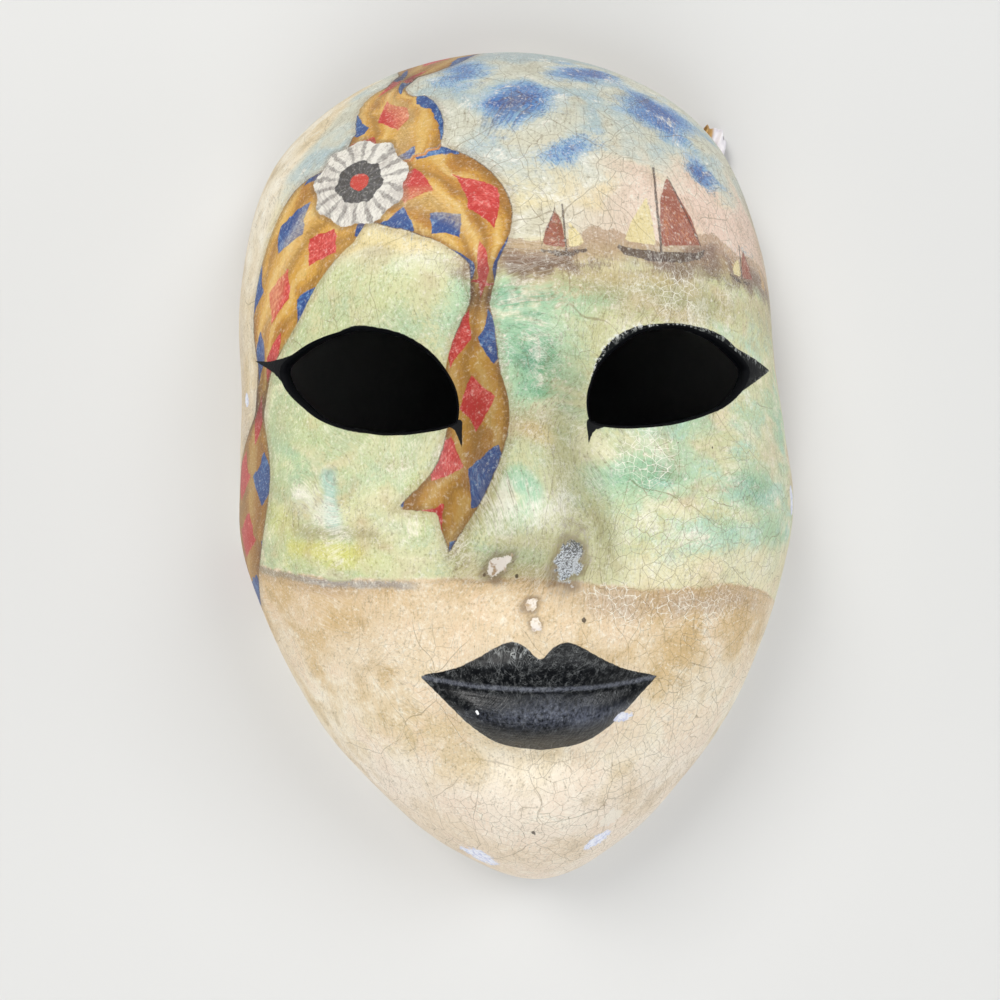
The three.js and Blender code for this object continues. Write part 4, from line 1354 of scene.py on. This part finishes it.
# %% The band, bunched up where it slips out
w = np.linspace(-1, 1, ACROSS)
FOLD_RUN = float(ribbon_run[np.argmin(np.interp(station, np.arange(len(inset)), inset))])
from_fold = (ribbon_run - FOLD_RUN)[:, None]
gather = np.exp(-(from_fold / 6.5) ** 2)  # the outer fold is bunched up
crumple = 0.22 * uneven(ribbon_run[:, None] + 0 * w, 5 * w + 0 * from_fold, 3.2, shift=7.0)
crumple = crumple + gather * (0.75 * np.sin(5.6 * w + 0.6) + 0.3 * np.sin(11 * w + 0.5 * from_fold))
tucked = np.where(w > 0.66, 0.66 - (w - 0.66) * 0.9, w)  # the far edge is turned under
reach = (w + (tucked - w) * np.minimum(2.2 * gather, 1)) * RIBBON_WIDTH / 2 * (1 - 0.08 * gather)
crumple = crumple - 0.9 * smooth(0.6, 0.8, w) * gather
radial = np.append(from_centre(NOTCH_ANGLE, 1.0), 0) - (CENTRE_X, CENTRE_Y, 0)
lobes = gather**3 * (0.9 + 1.3 * np.cos(4.4 * w + 1.0))
band = (middle[:, None] + wide[:, None] * reach[:, :, None] + radial * lobes[:, :, None]
        + thick[:, None] * (crumple + 0.25 * (w**2 - 0.4))[:, :, None])
top = band + thick[:, None] * RIBBON_THICKNESS / 2
low = band - thick[:, None] * RIBBON_THICKNESS / 2
loops = np.concatenate([top, low[:, ::-1]], axis=1)
loops[:, :, 2] = np.maximum(loops[:, :, 2], 0.05)
rows, ring = loops.shape[:2]
k, c = np.meshgrid(np.arange(rows - 1), np.arange(ring), indexing="ij")
a, b = k * ring + c, k * ring + (c + 1) % ring
quads = np.stack([a, b, b + ring, a + ring], -1).reshape(-1, 4).tolist()
caps = [[i, i + 1, ring - 2 - i, ring - 1 - i] for i in range(ACROSS - 1)]
caps = [cap[::-1] for cap in caps] + [[v + (rows - 1) * ring for v in cap] for cap in caps]
ribbon = mesh_object("satin_band", loops.reshape(-1, 3), quads + caps)
across_band = np.concatenate([w, w[::-1]])
store(ribbon.data, "weave", np.stack([np.repeat(ribbon_run, ring), np.tile(across_band, rows),
                                      np.zeros(rows * ring)], 1))
ribbon_uv = ribbon.data.uv_layers.new(name="OFBake")
corner = np.array([loop.vertex_index for loop in ribbon.data.loops])
u = ribbon_run[corner // ring] / RIBBON_LENGTH
lane = corner % ring
v = np.where(lane < ACROSS, 0.05 + 0.4 * lane / ACROSS, 0.55 + 0.4 * (lane - ACROSS) / ACROSS)
ribbon_uv.data.foreach_set("uv", np.stack([u, v], 1).ravel())
print("ribbon mesh:", len(ribbon.data.polygons), "faces")

# %% Satin
satin = PaintPot("satin_weave")
weave = satin.place("weave")
along_band, lane = satin.split(weave)
cloud_grain = satin.grain(satin.scaled(weave, (1, 4.7, 0)), 2.5, detail=3)
fold = (along_band - FOLD_RUN + cloud_grain * 2).size().rise(9, 4)
gold = lane.size().rise(0.84, 0.88) * (1 - fold * lane.rise(0.2, 0.4)) + lane.rise(-0.4, -0.62) * fold
gold = gold.least(1.0)
threads = (along_band * 21).wave() * 0.5 + 0.5
white = satin.over((238, 235, 240), (200, 194, 204), (cloud_grain * 1.5 + 0.3).rise(0, 1))
edged = satin.over(white, (200, 158, 96), gold)
satin.complete(edged, 0.34 + threads * 0.12 + gold * 0.05, Metallic=gold * 0.5)
satin.roughen(threads * 0.02 + cloud_grain * 0.08, 0.5)
ribbon.data.materials.append(satin.material)
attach(ribbon, "root")
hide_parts("hanging_ribbon")
print("satin:", len(satin.tree.nodes), "nodes")

# %% [markdown]
# ## Table and light
#
# A pale plain table and soft lamps all round. The main one is large and stands to the
# upper left at about forty degrees, so its light slants into the eye holes and
# leaves the table behind them dark, as in the photograph.

# %% Floor, lamps and world
floor_mesh = bpy.data.meshes.new("pale_table")
floor_mesh.from_pydata([(-2, -2, 0), (2, -2, 0), (2, 2, 0), (-2, 2, 0)], [], [(0, 1, 2, 3)])
floor = put("pale_table", floor_mesh)
floor.location.z = -0.0002
paper = PaintPot("pale_paper")
paper.complete((0.70, 0.70, 0.69), 1.0, Specular_IOR_Level=0.0)
floor.data.materials.append(paper.material)


def lamp(name, place, size, power, colour=(1, 1, 1)):
    data = bpy.data.lights.new(name, "AREA")
    data.shape = "SQUARE"
    data.size, data.energy, data.color = size, power, colour
    made = put(name, data)
    made.location = place
    made.rotation_euler = (-Vector(place)).to_track_quat("-Z", "Y").to_euler()
    return made


lamp("key", (-0.50, 0.66, 0.92), 0.5, 9.0, (1.0, 0.985, 0.96))
lamp("fill", (0.68, 0.52, 0.86), 0.5, 5.4, (0.96, 0.98, 1.0))
front = lamp("front", (-0.08, -0.92, 0.80), 0.7, 9.5)
right = lamp("right side", (1.05, -0.15, 0.36), 0.5, 2.4)
left = lamp("left side", (-1.05, -0.15, 0.36), 0.5, 1.8)
sheen = lamp("sheen", (-0.10, 0.12, 1.0), 0.6, 1.8, (0.92, 0.96, 1.0))
sheen.visible_diffuse = False  # only the soft reflection of a pale ceiling
for quiet in (front, right, left):
    quiet.visible_glossy = False
world = bpy.data.worlds.new("room")
world.use_nodes = True
background = world.node_tree.nodes["Background"].inputs
background["Color"].default_value = (0.9, 0.95, 1.0, 1)
background["Strength"].default_value = 0.025
bpy.context.scene.world = world
bpy.context.scene.view_settings.view_transform = "Standard"
print(len(bpy.data.lights), "lamps round the table")
